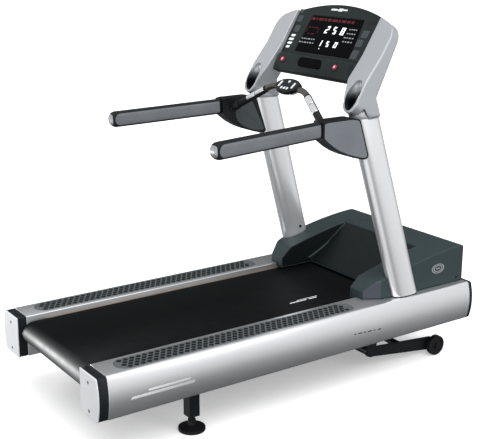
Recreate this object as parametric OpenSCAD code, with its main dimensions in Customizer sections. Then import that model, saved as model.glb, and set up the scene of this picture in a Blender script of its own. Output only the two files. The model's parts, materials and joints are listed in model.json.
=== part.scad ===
/* [Overall] */
// Length from the rear plates to the front caps
overall_length = 2030; // [1980:5:2060]
// Width across the bulged sides of the rails
overall_width = 940; // [936:2:950]
// Height of the rail tops above the floor
rail_top = 394; // [390:1:398]

/* [Rails] */
// Width of a rail from its inner wall to its bulge
rail_width = 158; // [154:1:160]
// Height of a rail
rail_height = 187; // [184:1:190]
// How far the outer face bulges past the rail's outer edges
rail_bulge = 14; // [10:1:16]
// Wall of the rail extrusion
rail_wall = 4; // [3:0.5:5]
// Thickness of the dark rear bumper
bumper_length = 40; // [30:1:44]
// Thickness of a rear plate
rear_plate_length = 6; // [5:0.5:7]
// Depth of a front cap
front_cap_length = 25; // [20:1:30]
// Width of a grip pad
grip_pad_width = 104; // [96:2:108]
// Length of a grip pad
grip_pad_length = 1205; // [1150:5:1215]

/* [Deck and belt] */
// Drop from the rail top to the belt's running face
belt_drop = 22; // [20:1:24]
// Width of the running belt
belt_width = 594; // [560:2:596]
// Thickness of the running belt
belt_thickness = 2.5; // [2:0.5:3]
// Outer radius of the rollers
roller_radius = 49; // [48:0.5:49]
// Thickness of the deck board
deck_thickness = 25; // [18:1:26]

/* [Uprights] */
// Backward lean of the uprights
upright_lean = 16.5; // [16:0.1:17]
// Inward tilt of the uprights
upright_tilt = 2; // [1.8:0.1:2.2]
// Length of the upright's oval section
upright_depth = 142; // [138:1:144]
// Width of the upright's oval section
upright_width = 77; // [74:1:78]
// Height where the upright's tube ends
upright_end = 1236; // [1230:1:1240]

/* [Console] */
// Forward lean of the console's face
console_lean = 30.8; // [30:0.1:31.5]
// Half of the console's width
console_half = 295; // [293:1:296]
// Height of the console's face at its middle
console_height = 366; // [360:1:368]
// Radius of the arched top, shared by the console and the wings
arch_radius = 970; // [960:5:980]
// Radius of a cup well
cup_radius = 37; // [32:1:38]

/* [Handrails] */
// Height of the handrail's section
handrail_height = 72; // [68:1:74]
// Width of the handrail's section
handrail_width = 48; // [44:1:50]
// Radius of the cross bar's tube
cross_bar_radius = 14; // [12:0.5:15]

/* [Lift] */
// Radius of the front wheels
wheel_radius = 50; // [48:1:50]

/* [Hidden] */
$fn = 48;

silver = [0.80, 0.81, 0.83];
pale_grey = [0.72, 0.74, 0.76];
mid_grey = [0.50, 0.52, 0.54];
dark_green_grey = [0.23, 0.28, 0.28];
near_black = [0.08, 0.09, 0.09];
steel = [0.62, 0.63, 0.65];
gap = 0.3;                       // clearance between neighbouring pieces
over = 1;                        // overshoot of a cutting solid
big = 3000;

// Rails
half_length = overall_length / 2;
rail_outer = overall_width / 2;
rail_inner = rail_outer - rail_width;
rail_bottom = rail_top - rail_height;
rail_middle = (rail_top + rail_bottom) / 2;
rail_corner = 14;
bulge_chord = rail_height / 2 - rail_corner / 2;
bulge_radius = (bulge_chord * bulge_chord + rail_bulge * rail_bulge) / (2 * rail_bulge);
bulge_centre = rail_outer - bulge_radius;
rail_start = -half_length + rear_plate_length + bumper_length;
rail_end = half_length - front_cap_length;
rail_axis = rail_inner + (rail_width - rail_bulge) / 2;
plug_length = 18;
plug_inset = rail_wall + 0.4;
screw_heights = [rail_middle - 66, rail_middle + 54];
screw_radius = 3;
screw_head = 6.5;
screw_head_height = 3.4;
screw_socket = 2.6;
screw_length = 46;
pad_height = 3;
pad_start = -900;
stud_rows = 4;
stud_columns = 39;
stud_first = 38;
stud_pitch = 29;
stud_row_pitch = 22;
stud_side = 10;
stud_height = 1.4;

// Belt, deck and rollers
belt_top = rail_top - belt_drop;
loop_radius = roller_radius + 0.5;
axle_height = belt_top - belt_thickness - loop_radius;
rear_axle_x = -945;
front_axle_x = 700;
axle_radius = 10;
axle_fit = 0.05;
axle_end = rail_inner - 1;
roller_wall = 4;
roller_half = belt_width / 2 + 1;
roller_hub = 16;
deck_start = -878;
deck_end = 632;
deck_top = belt_top - belt_thickness - gap;
cushion_radius = 18;
cushion_height = 22;
member_width = 60;
member_height = 30;
member_top = deck_top - deck_thickness - cushion_height;
member_places = [-780, -420, -60, 300, 590];
low_member_start = 20;
low_member_width = 40;
low_member_height = 40;

// Drive
drive_y = -(rail_inner - 7);
pulley_half = 5;
driven_radius = 42;
pinion_radius = 21;
belt_play = 0.4;
drive_belt_thickness = 3;
motor_x = 868;
motor_z = 352;
motor_radius = 62;
motor_start = -70;
motor_end = 130;
flywheel_radius = 70;
flywheel_y = -262;
flywheel_width = 28;
shaft_radius = 9;
saddle_width = 10;
saddle_places = [-50, 100];
pan_start = 590;
pan_end = 984;
pan_z = 214;
pan_wall = 2.5;
controller_place = [775, 160];
controller_size = [180, 125, 95];
inlet_y = 190;
inlet_z = 262;
inlet_size = [26, 52, 34];
switch_y = 130;
switch_half = [13, 9];

// Hood
hood_half = 412;
hood_opening_half = 264;
hood_tip = 398;
hood_nose = [452, 479];
hood_tip_z = 432;
hood_plan = [[hood_tip, 356], [472, 398], [545, hood_half], [990, hood_half]];
hood_front = 990;
hood_top = 573;
hood_fall = 43;
hood_run = 325;
hood_power = 1.6;
hood_wall = 4;
hood_base = rail_top + gap;
hood_low_base = belt_top + 9;
ramp_foot = [585, belt_top + 15];
ramp_head = [812, 558];
hood_corner = 14;

// Uprights
upright_x = 610;
upright_y = 402;
upright_wall = 3;
side_screw_along = 158;
side_screw_radius = 3;

// Console frame of reference: origin at the middle of the face's lower edge
console_x = 343;
console_z = 1393;
console_depth = 28;
console_back_depth = 46;
console_back_base = 28;
face_recess = 6;
shell_wall = 3;
window_bottom = 112;
window_top = 301;
window_half_bottom = 202;
window_half_top = 185;
ledge_top = 96;
ledge_crest = 84;
ledge_reach = 22;
key_radius = 12;
key_travel = 2.5;
stop_key_y = -166;
start_key_y = 222;
key_v = 52;
receiver_y = 18;
receiver_half = [86, 21];

// Wings
wing_inner = 296;
wing_outer = 416;
wing_profile = [[296, 1254], [272, 1258], [259, 1268], [256, 1282], [261, 1304], [280, 1348],
    [322, 1416], [398, 1510], [480, 1640], [520, 1705], [560, 1705], [522, 1622], [460, 1490],
    [386, 1338], [404, 1290], [414, 1254]];
wing_void = [[352, 1424], [412, 1512], [462, 1590], [492, 1590], [452, 1504], [400, 1400]];
wing_foot = [374, -100];
wing_foot_radius = 43;
wing_stub_end = 1345;
cup_offset = [-28, 8];
cup_floor = 1256;
wing_wall = 5;

// Handrails
rail_front = [92, 383, 1221];
rail_rear = [-456, 430, 1203];
bracket_y = 381;
bracket_half = 34;
tip_length = 14;

// Cross bar
pod_centre = [222, 0, 1350];
pod_lean = 40;
pod_half = [42, 85];
pod_depth = 28;
pod_key_y = 48;
pod_key_size = [34, 11];
pod_key_travel = 2;
pod_key_sink = 4;
bar_bend = [223, 118, 1345];
bar_end = [156, 346, 1216];
bar_reach = 1.03;
grip_wall = 3;
sensor_wall = 1.6;
sensor_spans = [[0.28, 0.46], [0.52, 0.70]];
grip_span = [0.16, 0.84];

// Lift
lift_pivot = [482, 103];
lift_wheel_x = 898;
lift_y = 346;
lift_lever = 130;
lift_lever_back = 16.6;
lift_pin = 6;
lift_slot_gap = 0.8;
lift_tube = 20;
lift_tie = 0.55;
pivot_pin = 9;
wheel_half = 15;
wheel_pin = 8;
bearing_fit = 0.05;
arm_thickness = 10;
arm_y = lift_y - wheel_half - 2 - arm_thickness;
actuator_z = lift_pivot[1] + lift_lever * cos(lift_lever_back);
actuator_x = lift_pivot[0] - lift_lever * sin(lift_lever_back);
actuator_radius = 14;
actuator_shell = 19;
actuator_base = 110;
actuator_mouth = 330;
actuator_inner_start = 180;
gearbox_start = low_member_start + low_member_width;
gearbox_size = [54, 110, 44];
lever_half = 5;
fork_wall = 6;
fork_depth = 39;
fork_base = 10;
bracket_plate_y = arm_y + arm_thickness + 1.5;
bracket_wall = 10;

// Feet
foot_x = -526;
foot_y = 346;
leg_side = 50;
leg_bottom = 66;
foot_pad_radius = 58;
foot_pad_height = 14;
foot_neck_radius = 17;
foot_neck_top = 50;
foot_stem_radius = 10;
foot_stem_top = 170;

function arc(centre, r, from, to, steps) =
    [for (k = [0 : steps]) let (a = from + (to - from) * k / steps)
        [centre[0] + r * cos(a), centre[1] + r * sin(a)]];

// Outline of a rail in Y and Z, moved inward by inset
function rail_corner_y() = bulge_centre
    + sqrt(pow(bulge_radius - rail_corner, 2) - pow(rail_height / 2 - rail_corner, 2));
function rail_corner_angle() =
    atan2(rail_height / 2 - rail_corner, rail_corner_y() - bulge_centre);
function rail_outline(inset) = concat(
    [[rail_inner + inset, rail_top - inset], [rail_inner + inset, rail_bottom + inset]],
    arc([rail_corner_y(), rail_bottom + rail_corner], rail_corner - inset, -90,
        -rail_corner_angle(), 6),
    arc([bulge_centre, rail_middle], bulge_radius - inset, -rail_corner_angle(),
        rail_corner_angle(), 16),
    arc([rail_corner_y(), rail_top - rail_corner], rail_corner - inset, rail_corner_angle(), 90, 6));

// Superellipse outline for oval sections
function oval(a, b, power = 2.4, steps = 40) =
    [for (k = [0 : steps - 1]) let (t = 360 * k / steps, c = cos(t), s = sin(t))
        [a * sign(c) * pow(abs(c), 2 / power), b * sign(s) * pow(abs(s), 2 / power)]];

// Outline of a belt loop round two circles in X and Z
function loop_outline(p, rp, q, rq) =
    let (d = [q[0] - p[0], q[1] - p[1]], heading = atan2(d[1], d[0]),
         lean = asin((rp - rq) / norm(d)))
    concat(arc(p, rp, heading + 90 - lean, heading + 270 + lean, 24),
           arc(q, rq, heading - 90 + lean, heading + 90 - lean, 24));

// Puts children on one side: the shape is drawn on the left, and the right is its mirror
module on_side(side) {
    if (side > 0) children();
    else mirror([0, 1, 0]) children();
}

// Extrudes an outline drawn in Y and Z along X
module along_x(start, length) {
    translate([start, 0, 0]) rotate([90, 0, 90]) linear_extrude(length) children();
}

// Extrudes an outline drawn in X and Z along Y, between two values of Y
module along_y(start, end) {
    translate([0, end, 0]) rotate([90, 0, 0]) linear_extrude(end - start) children();
}

// A cylinder along Y at a point of X and Z
module rod_y(x, z, r, start, end) {
    translate([x, end, z]) rotate([90, 0, 0]) cylinder(h = end - start, r = r);
}

// A cylinder from one point to another
module rod(a, b, r) {
    d = b - a;
    translate(a) rotate([0, acos(d[2] / norm(d)), atan2(d[1], d[0])]) cylinder(h = norm(d), r = r);
}

module side_rail(side) {
    color(silver) on_side(side) difference() {
        along_x(rail_start, rail_end - rail_start) difference() {
            polygon(rail_outline(0));
            polygon(rail_outline(rail_wall));
        }
        translate([pad_start, rail_axis, rail_top - pad_height / 2])
            linear_extrude(pad_height) pad_outline(0);
    }
}

module rear_bumpers() {
    color(near_black) for (side = [-1, 1]) on_side(side) difference() {
        union() {
            along_x(rail_start - bumper_length + gap, bumper_length - 2 * gap)
                polygon(rail_outline(3));
            along_x(rail_start - over, plug_length) polygon(rail_outline(plug_inset));
        }
        for (z = screw_heights)
            translate([-half_length, rail_axis, z]) rotate([0, 90, 0])
                cylinder(h = screw_length + 12, r = screw_radius + bearing_fit);
    }
}

module rear_plate(side) {
    color(silver) on_side(side) difference() {
        along_x(-half_length, rear_plate_length) polygon(rail_outline(0.5));
        for (z = screw_heights) translate([-half_length, rail_axis, z]) rotate([0, 90, 0]) {
            translate([0, 0, -over]) cylinder(h = rear_plate_length + 2 * over,
                r = screw_radius + bearing_fit);
            translate([0, 0, -over]) cylinder(h = screw_head_height + over + gap,
                r = screw_head + gap);
        }
    }
}

module rear_plate_screws() {
    color(near_black) for (side = [-1, 1], z = screw_heights) on_side(side)
        translate([-half_length, rail_axis, z]) rotate([0, 90, 0]) difference() {
            union() {
                translate([0, 0, gap]) cylinder(h = screw_head_height, r = screw_head);
                cylinder(h = screw_length, r = screw_radius);
            }
            translate([0, 0, -over]) cylinder(h = over + screw_head_height * 0.7,
                r = screw_socket, $fn = 6);
        }
}

module front_cap(side) {
    color(near_black) on_side(side) {
        along_x(rail_end, front_cap_length - 8) polygon(rail_outline(0));
        along_x(rail_end + front_cap_length - 8, 5) polygon(rail_outline(3));
        along_x(rail_end + front_cap_length - 3, 3) polygon(rail_outline(9));
    }
}

module grip_pad(side) {
    color(mid_grey) on_side(side) {
        translate([pad_start, rail_axis, rail_top - pad_height / 2])
            linear_extrude(pad_height) pad_outline(gap);
        for (row = [0 : stud_rows - 1], k = [0 : stud_columns - 1])
            translate([pad_start + stud_first + (k + (row % 2) / 2) * stud_pitch,
                rail_axis + (row - (stud_rows - 1) / 2) * stud_row_pitch, rail_top + pad_height / 2])
                rotate([0, 0, 45]) translate([-stud_side / 2, -stud_side / 2, 0])
                    cube([stud_side, stud_side, stud_height]);
    }
}

// Outline of a grip pad from its rear end, moved inward by inset
module pad_outline(inset) {
    r = grip_pad_width / 2;
    polygon(concat(arc([grip_pad_length - r, 0], r - inset, -90, 90, 16),
        arc([r, 0], r - inset, 90, 270, 16)));
}

module deck_board() {
    color([0.55, 0.42, 0.28])
        translate([deck_start, -rail_inner + 6, deck_top - deck_thickness])
            cube([deck_end - deck_start, 2 * rail_inner - 12, deck_thickness]);
}

module deck_cushions() {
    color(near_black) for (x = member_places, side = [-1, 1])
        translate([x, side * (rail_inner - 60), member_top])
            cylinder(h = cushion_height, r = cushion_radius);
}

module cross_members() {
    color(steel) for (x = member_places)
        translate([x - member_width / 2, -rail_inner, member_top - member_height]) difference() {
            cube([member_width, 2 * rail_inner, member_height]);
            translate([3, -over, 3])
                cube([member_width - 6, 2 * rail_inner + 2 * over, member_height - 6]);
        }
    color(steel) translate([low_member_start, -rail_inner, rail_bottom + 3])
        cube([low_member_width, 2 * rail_inner, low_member_height]);
}

module running_belt() {
    rear = [rear_axle_x, axle_height];
    front = [front_axle_x, axle_height];
    outer = loop_radius + belt_thickness;
    color(near_black) along_y(-belt_width / 2, belt_width / 2) difference() {
        polygon(loop_outline(rear, outer, front, outer));
        polygon(loop_outline(rear, loop_radius, front, loop_radius));
    }
}

module roller_axles() {
    color(steel) for (x = [rear_axle_x, front_axle_x])
        rod_y(x, axle_height, axle_radius, -axle_end, axle_end);
}

// A hollow roller with two bored end hubs
module roller_shell(x) {
    difference() {
        rod_y(x, axle_height, roller_radius, -roller_half, roller_half);
        rod_y(x, axle_height, roller_radius - roller_wall, -roller_half + roller_hub,
            roller_half - roller_hub);
        rod_y(x, axle_height, axle_radius + axle_fit, -roller_half - over, roller_half + over);
    }
}

module rear_roller() {
    color(steel) roller_shell(rear_axle_x);
}

module front_roller() {
    color(steel) {
        roller_shell(front_axle_x);
        difference() {
            rod_y(front_axle_x, axle_height, driven_radius, drive_y - pulley_half, -roller_half);
            rod_y(front_axle_x, axle_height, axle_radius + axle_fit, drive_y - pulley_half - over,
                -roller_half + over);
        }
    }
}

module tension_bolts() {
    color(steel) for (side = [-1, 1])
        translate([rear_axle_x - 46, side * (rail_inner - 6), axle_height]) rotate([0, 90, 0]) {
            cylinder(h = 34, r = 3.5);
            translate([0, 0, -5]) cylinder(h = 5, r = 5.5, $fn = 6);
        }
}

module drive_motor() {
    color(near_black) difference() {
        union() {
            rod_y(motor_x, motor_z, motor_radius, motor_start, motor_end);
            rod_y(motor_x, motor_z, motor_radius - 14, motor_start - 8, motor_start);
            rod_y(motor_x, motor_z, motor_radius - 8, motor_end, motor_end + 6);
        }
        rod_y(motor_x, motor_z, shaft_radius + axle_fit, motor_start - 8 - over, motor_end - 10);
    }
}

module motor_rotor() {
    color(steel) {
        rod_y(motor_x, motor_z, shaft_radius, drive_y - pulley_half, motor_end - 14);
        rod_y(motor_x, motor_z, flywheel_radius, flywheel_y, flywheel_y + flywheel_width);
        rod_y(motor_x, motor_z, pinion_radius, drive_y - pulley_half, drive_y + pulley_half);
    }
}

module drive_belt() {
    driven = [front_axle_x, axle_height];
    pinion = [motor_x, motor_z];
    inner = belt_play;
    outer = belt_play + drive_belt_thickness;
    color(near_black) along_y(drive_y - pulley_half + 1, drive_y + pulley_half - 1) difference() {
        polygon(loop_outline(driven, driven_radius + outer, pinion, pinion_radius + outer));
        polygon(loop_outline(driven, driven_radius + inner, pinion, pinion_radius + inner));
    }
}

module motor_mount() {
    base = pan_z + pan_wall;
    half = motor_radius + 14;
    color(steel) {
        translate([motor_x - half, saddle_places[0], base])
            cube([2 * half, saddle_places[1] + saddle_width - saddle_places[0], 6]);
        for (y = saddle_places) difference() {
            translate([motor_x - half, y, base]) cube([2 * half, saddle_width, motor_z - base]);
            rod_y(motor_x, motor_z, motor_radius + gap, y - over, y + saddle_width + over);
        }
    }
}

module controller_box() {
    color(dark_green_grey) translate([controller_place[0], controller_place[1], pan_z + pan_wall]) {
        cube(controller_size);
        for (k = [0 : 7]) translate([12 + k * 21, 10, controller_size[2]])
            cube([5, controller_size[1] - 20, 16]);
    }
}

module power_inlet() {
    color(near_black) translate([pan_end - pan_wall - inlet_size[0] + 3, inlet_y - inlet_size[1] / 2,
        inlet_z - inlet_size[2] / 2]) difference() {
            cube(inlet_size);
            translate([inlet_size[0] - 16, 8, 7]) cube([17, inlet_size[1] - 16, inlet_size[2] - 14]);
            for (k = [-1, 1]) translate([inlet_size[0] - 20, inlet_size[1] / 2 + k * 9, 16])
                cube([5, 2, 4]);
        }
}

// The rocker turns on a pin inside the front flange
module power_switch() {
    color(near_black) translate([pan_end, switch_y, inlet_z]) {
        rod_y(-3, 0, 2, -switch_half[1] - 3, switch_half[1] + 3);
        along_y(-switch_half[1], switch_half[1])
            polygon([[-8, -6], [4, -switch_half[0]], [1.5, 0], [3, switch_half[0]], [-8, 6]]);
    }
}

module belly_pan() {
    width = 2 * (rail_inner - 3);
    color(near_black) difference() {
        union() {
            translate([pan_start, -width / 2, pan_z]) cube([pan_end - pan_start, width, pan_wall]);
            translate([pan_end - pan_wall, -width / 2, pan_z])
                cube([pan_wall, width, rail_top - pan_z - 4]);
        }
        translate([pan_end - 12, inlet_y - inlet_size[1] / 2 - gap,
            inlet_z - inlet_size[2] / 2 - gap])
            cube([24, inlet_size[1] + 2 * gap, inlet_size[2] + 2 * gap]);
        translate([pan_end - 12, switch_y - switch_half[1] - 4, inlet_z - switch_half[0] - 2])
            cube([24, 2 * switch_half[1] + 8, 2 * switch_half[0] + 4]);
    }
}

// Height of the hood's shoulders above the floor at x
function hood_line(x) = hood_top - hood_fall * pow(max(0, (hood_front - 8 - x) / hood_run), hood_power);

// Side outline of the hood's shoulders above a base height, moved inward by inset
function shoulder_outline(inset, base) = concat(
    [[hood_front - inset, base], [hood_front - inset, hood_top - hood_corner]],
    arc([hood_front - hood_corner, hood_top - hood_corner], hood_corner - inset, 10, 80, 5),
    [for (k = [0 : 12]) let (x = hood_front - 30 - (hood_front - 30 - hood_nose[0]) * k / 12)
        [x, hood_line(x) - inset]],
    [[hood_tip + inset, hood_tip_z - inset], [hood_tip + inset, base]]);

// Side outline of what is open between the arms, above the ramp; grown by extra
function ramp_cut(extra) = let (run = ramp_head - ramp_foot,
    rise = extra / cos(atan2(run[1], run[0])))
    [[hood_tip - 10, hood_low_base - 20], [ramp_foot[0], hood_low_base - 20],
     ramp_foot - [0, rise], [ramp_head[0] + extra, ramp_head[1] - rise],
     [ramp_head[0] + extra, hood_line(ramp_head[0]) - extra], [ramp_head[0], hood_top + 20],
     [hood_tip - 10, hood_top + 20]];

// Plan of the hood, moved inward by inset
module hood_block(inset, base) {
    left = [for (p = hood_plan) [p[0], p[1] - inset]];
    right = [for (k = [len(hood_plan) - 1 : -1 : 0]) [hood_plan[k][0], inset - hood_plan[k][1]]];
    intersection() {
        along_y(-hood_half, hood_half) polygon(shoulder_outline(inset, base));
        translate([0, 0, base - 10]) linear_extrude(300) polygon(concat(left, right));
    }
}

module motor_hood() {
    color(dark_green_grey) difference() {
        union() {
            hood_block(0, hood_base);
            intersection() {
                hood_block(0, hood_low_base);
                translate([0, -rail_inner + 2, 0]) cube([big, 2 * rail_inner - 4, big]);
            }
        }
        along_y(-hood_opening_half, hood_opening_half) polygon(ramp_cut(0));
        difference() {
            hood_block(hood_wall, hood_low_base - over);
            along_y(-hood_opening_half - hood_wall, hood_opening_half + hood_wall)
                polygon(ramp_cut(hood_wall));
            for (side = [-1, 1]) on_side(side) upright_notch(3 + hood_wall);
        }
        for (side = [-1, 1]) on_side(side) upright_notch(3);
    }
}

// The room that the hood leaves round an upright, open to the outside
module upright_notch(extra) {
    in_upright_frame() translate([0, 0, -80]) linear_extrude(420) {
        polygon(oval(upright_depth / 2 + extra, upright_width / 2 + extra));
        translate([-upright_depth / 2 - extra, 0]) square([upright_depth + 2 * extra, 90]);
    }
}

// Frame of the left upright: origin at the middle of its foot, Z up along it
module in_upright_frame() {
    translate([upright_x, upright_y, rail_top]) rotate([upright_tilt, -upright_lean, 0]) children();
}

// Part of an oval bar along the left upright, between two heights
module upright_bar(extra, low, high) {
    reach = 60;
    intersection() {
        in_upright_frame() translate([0, 0, -reach]) linear_extrude(1100 + reach)
            polygon(oval(upright_depth / 2 + extra, upright_width / 2 + extra));
        translate([0, 0, low]) cube([1000, 600, high - low]);
    }
}

module upright(side) {
    color(pale_grey) on_side(side) difference() {
        upright_bar(0, rail_top + gap / 3, upright_end);
        upright_bar(-upright_wall, rail_top - over, upright_end + over);
        in_side_screw_frame() translate([0, 0, -12]) cylinder(h = 20, r = side_screw_radius + bearing_fit);
    }
}

// Frame of the screw in the inner side of the left upright: Z out of the upright
module in_side_screw_frame() {
    in_upright_frame() translate([18, -upright_width / 2, side_screw_along]) rotate([90, 0, 0]) children();
}

module upright_screws() {
    color(near_black) for (side = [-1, 1]) on_side(side) in_side_screw_frame() difference() {
        union() {
            translate([0, 0, 0.1]) cylinder(h = 4, r = 7);
            translate([0, 0, -10]) cylinder(h = 11, r = side_screw_radius);
        }
        translate([0, 0, 2]) cylinder(h = 4, r = 3.5, $fn = 6);
    }
}

// Frame of the console: X into the console, Z up along its face
module in_console_frame() {
    translate([console_x, 0, console_z]) rotate([0, console_lean, 0]) children();
}

// Extrudes an outline drawn in Y and Z of the console's frame into the console
module into_console(start, end) {
    in_console_frame() along_x(start, end - start) children();
}

arch_centre = console_height - arch_radius;
function arch_angle(y) = acos(y / arch_radius);

// Outline of the console above a base line, moved inward by inset
function console_outline(inset, base = 0) = let (h = console_half - inset, r = 20) concat(
    arc([0, arch_centre], arch_radius - inset, arch_angle(h), 180 - arch_angle(h), 24),
    arc([-h + r, base + inset + r], r, 180, 270, 6), arc([h - r, base + inset + r], r, 270, 360, 6));

// Outline of the display window, moved inward by inset
function window_outline(inset) = let (b = window_half_bottom - inset, t = window_half_top - inset)
    [[b, window_bottom + inset], [t, window_top - inset], [-t, window_top - inset],
     [-b, window_bottom + inset]];

// Outline of the left wing seen along the console's normal
function wing_outline() = concat(
    arc([0, arch_centre], arch_radius, arch_angle(wing_outer), arch_angle(wing_inner), 8),
    [[wing_inner, 4]],
    arc(wing_foot, wing_foot_radius, 180, 360, 16));

module console_wing(side) {
    color(silver) on_side(side) difference() {
        union() {
            intersection() {
                along_y(wing_inner, wing_outer + 6) polygon(wing_profile);
                into_console(-300, 300) polygon(wing_outline());
            }
            upright_bar(0, upright_end, wing_stub_end);
        }
        cup_well(cup_radius);
        difference() {
            along_y(wing_inner + wing_wall, wing_outer - 2 * wing_wall) polygon(wing_void);
            cup_well(cup_radius + wing_wall);
        }
    }
}

module cup_well(r) {
    in_upright_frame() translate([cup_offset[0], cup_offset[1],
        (cup_floor - rail_top) / cos(upright_lean) / cos(upright_tilt)]) cylinder(h = 300, r = r);
}

module console_face() {
    color(dark_green_grey) difference() {
        into_console(face_recess, console_depth) polygon(console_outline(0));
        into_console(face_recess - over, console_depth + over) polygon(window_outline(0));
    }
}

module console_back() {
    start = console_depth + gap;
    color(near_black) difference() {
        into_console(start, start + console_back_depth) polygon(console_outline(6, console_back_base));
        into_console(start - over, start + console_back_depth - shell_wall)
            polygon(console_outline(6 + shell_wall, console_back_base));
    }
}

module display_window() {
    color(near_black) into_console(face_recess + 2, face_recess + 6)
        polygon(window_outline(gap));
}

module display_board() {
    color([0.10, 0.30, 0.16]) into_console(console_depth + 8, console_depth + 10)
        polygon(window_outline(12));
}

// Side outline of the lower panel in X and Z of the console's frame
function ledge_outline() = [[face_recess - gap, 3], [0, 3], [-ledge_reach + 8, 36],
    [-ledge_reach, ledge_crest - 6], [-ledge_reach + 3, ledge_crest], [-2, ledge_top],
    [face_recess - gap, ledge_top]];

module pill(half, extra) {
    r = half[1] + extra;
    c = half[0] - half[1];
    polygon(concat(arc([c, 0], r, -90, 90, 10), arc([-c, 0], r, 90, 270, 10)));
}

module lower_panel() {
    color(dark_green_grey) difference() {
        in_console_frame() along_y(-console_half + 2, console_half - 2) polygon(ledge_outline());
        in_console_frame() for (y = [stop_key_y, start_key_y]) translate([-40, y, key_v])
            rotate([0, 90, 0]) cylinder(h = 80, r = key_radius + gap);
        into_console(-60, -9) translate([receiver_y, key_v]) pill(receiver_half, gap);
    }
}

module receiver_window() {
    color(near_black) into_console(-17.5, -9 - gap) translate([receiver_y, key_v])
        pill(receiver_half, 0);
}

module round_key(y) {
    color([0.75, 0.25, 0.32]) in_console_frame() translate([-ledge_reach + 1, y, key_v])
        rotate([0, 90, 0]) {
            cylinder(h = ledge_reach - 1 + face_recess - gap - key_travel, r = key_radius);
            translate([0, 0, -1.5]) cylinder(h = 1.5, r = key_radius - 2);
        }
}

// Side outline of a handrail bracket in X and Z
bracket_profile = [[rail_front[0] + 3, 1258], [120, 1262], [250, 1263], [282, 1258], [300, 1250],
    [350, 1096], [350, 1082], [338, 1074], [318, 1074], [272, 1086], [232, 1099], [184, 1120],
    [146, 1143], [118, 1165], [rail_front[0] + 3, 1184]];

function rail_run() = rail_front - rail_rear;

// Frame of the left handrail: origin at its rear end, X along it
module in_rail_frame() {
    run = rail_run();
    translate(rail_rear) rotate([0, -asin(run[2] / norm(run)), atan2(run[1], run[0])]) children();
}

module rail_section(inset) {
    polygon(oval(handrail_width / 2 - inset, handrail_height / 2 - inset, 3.4));
}

module handrail_bracket(side) {
    color(mid_grey) on_side(side) difference() {
        along_y(bracket_y - bracket_half, bracket_y + bracket_half) polygon(bracket_profile);
        upright_bar(gap, 1000, 1300);
        in_rail_frame() translate([norm(rail_run()) - over, 0, 0]) rotate([0, 90, 0])
            cylinder(h = 80, r = 12 + bearing_fit);
        along_y(wing_inner - 10, wing_outer + 20) polygon([for (p = wing_profile) p - [gap, gap]]);
        rod(along(bar_bend, bar_end, 0.9), along(bar_bend, bar_end, bar_reach + 0.015),
            cross_bar_radius + bearing_fit);
    }
}

module handrail(side) {
    color(mid_grey) on_side(side) in_rail_frame() {
        along_x(0, norm(rail_run())) rail_section(0);
        translate([norm(rail_run()), 0, 0]) rotate([0, 90, 0]) cylinder(h = 60, r = 12);
    }
}

module handrail_tips() {
    color(silver) for (side = [-1, 1]) on_side(side) in_rail_frame() {
        along_x(-tip_length * 0.5, tip_length * 0.5 - gap) rail_section(1);
        along_x(-tip_length * 0.8, tip_length * 0.3) rail_section(5);
        along_x(-tip_length, tip_length * 0.2) rail_section(11);
    }
}

function mirrored(p, side) = [p[0], side * p[1], p[2]];
function along(a, b, t) = a + (b - a) * t;

module cross_bar() {
    color(silver) {
        for (side = [-1, 1]) {
            rod(mirrored(bar_bend, side), mirrored(along(bar_bend, bar_end, bar_reach), side),
                cross_bar_radius);
            translate(mirrored(bar_bend, side)) sphere(r = cross_bar_radius);
        }
        rod_y(bar_bend[0], bar_bend[2], cross_bar_radius, -bar_bend[1], bar_bend[1]);
    }
}

module sleeve(side, span, inner, outer) {
    a = mirrored(along(bar_bend, bar_end, span[0]), side);
    b = mirrored(along(bar_bend, bar_end, span[1]), side);
    difference() {
        rod(a, b, outer);
        rod(along(a, b, -0.05), along(a, b, 1.05), inner);
    }
}

module bar_grips() {
    color(near_black) for (side = [-1, 1])
        sleeve(side, grip_span, cross_bar_radius + bearing_fit, cross_bar_radius + grip_wall);
}

module pulse_sensors() {
    color(silver) for (side = [-1, 1], span = sensor_spans)
        sleeve(side, span, cross_bar_radius + grip_wall + bearing_fit,
            cross_bar_radius + grip_wall + sensor_wall);
}

// Frame of the pod: Z out of its key face
module in_pod_frame() {
    translate(pod_centre) rotate([0, -pod_lean, 0]) children();
}

module pod_housing() {
    color(near_black) difference() {
        in_pod_frame() translate([0, 0, -pod_depth / 2]) linear_extrude(pod_depth)
            polygon(oval(pod_half[0], pod_half[1], 2.1));
        rod_y(bar_bend[0], bar_bend[2], cross_bar_radius + bearing_fit, -200, 200);
        for (side = [-1, 1]) in_pod_frame()
            translate([-pod_key_size[0] / 2 - gap, side * pod_key_y - pod_key_size[1] / 2 - gap,
                pod_depth / 2 - pod_key_sink])
                cube([pod_key_size[0] + 2 * gap, pod_key_size[1] + 2 * gap, 10]);
    }
}

module pod_key(side) {
    color(silver) in_pod_frame()
        translate([-pod_key_size[0] / 2, side * pod_key_y - pod_key_size[1] / 2,
            pod_depth / 2 - pod_key_sink + pod_key_travel + gap])
            cube([pod_key_size[0], pod_key_size[1], pod_key_sink - gap]);
}

// A point along the lift arm, from its pivot to its wheel
function on_arm(t) = along(lift_pivot, [lift_wheel_x, wheel_radius], t);

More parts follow.
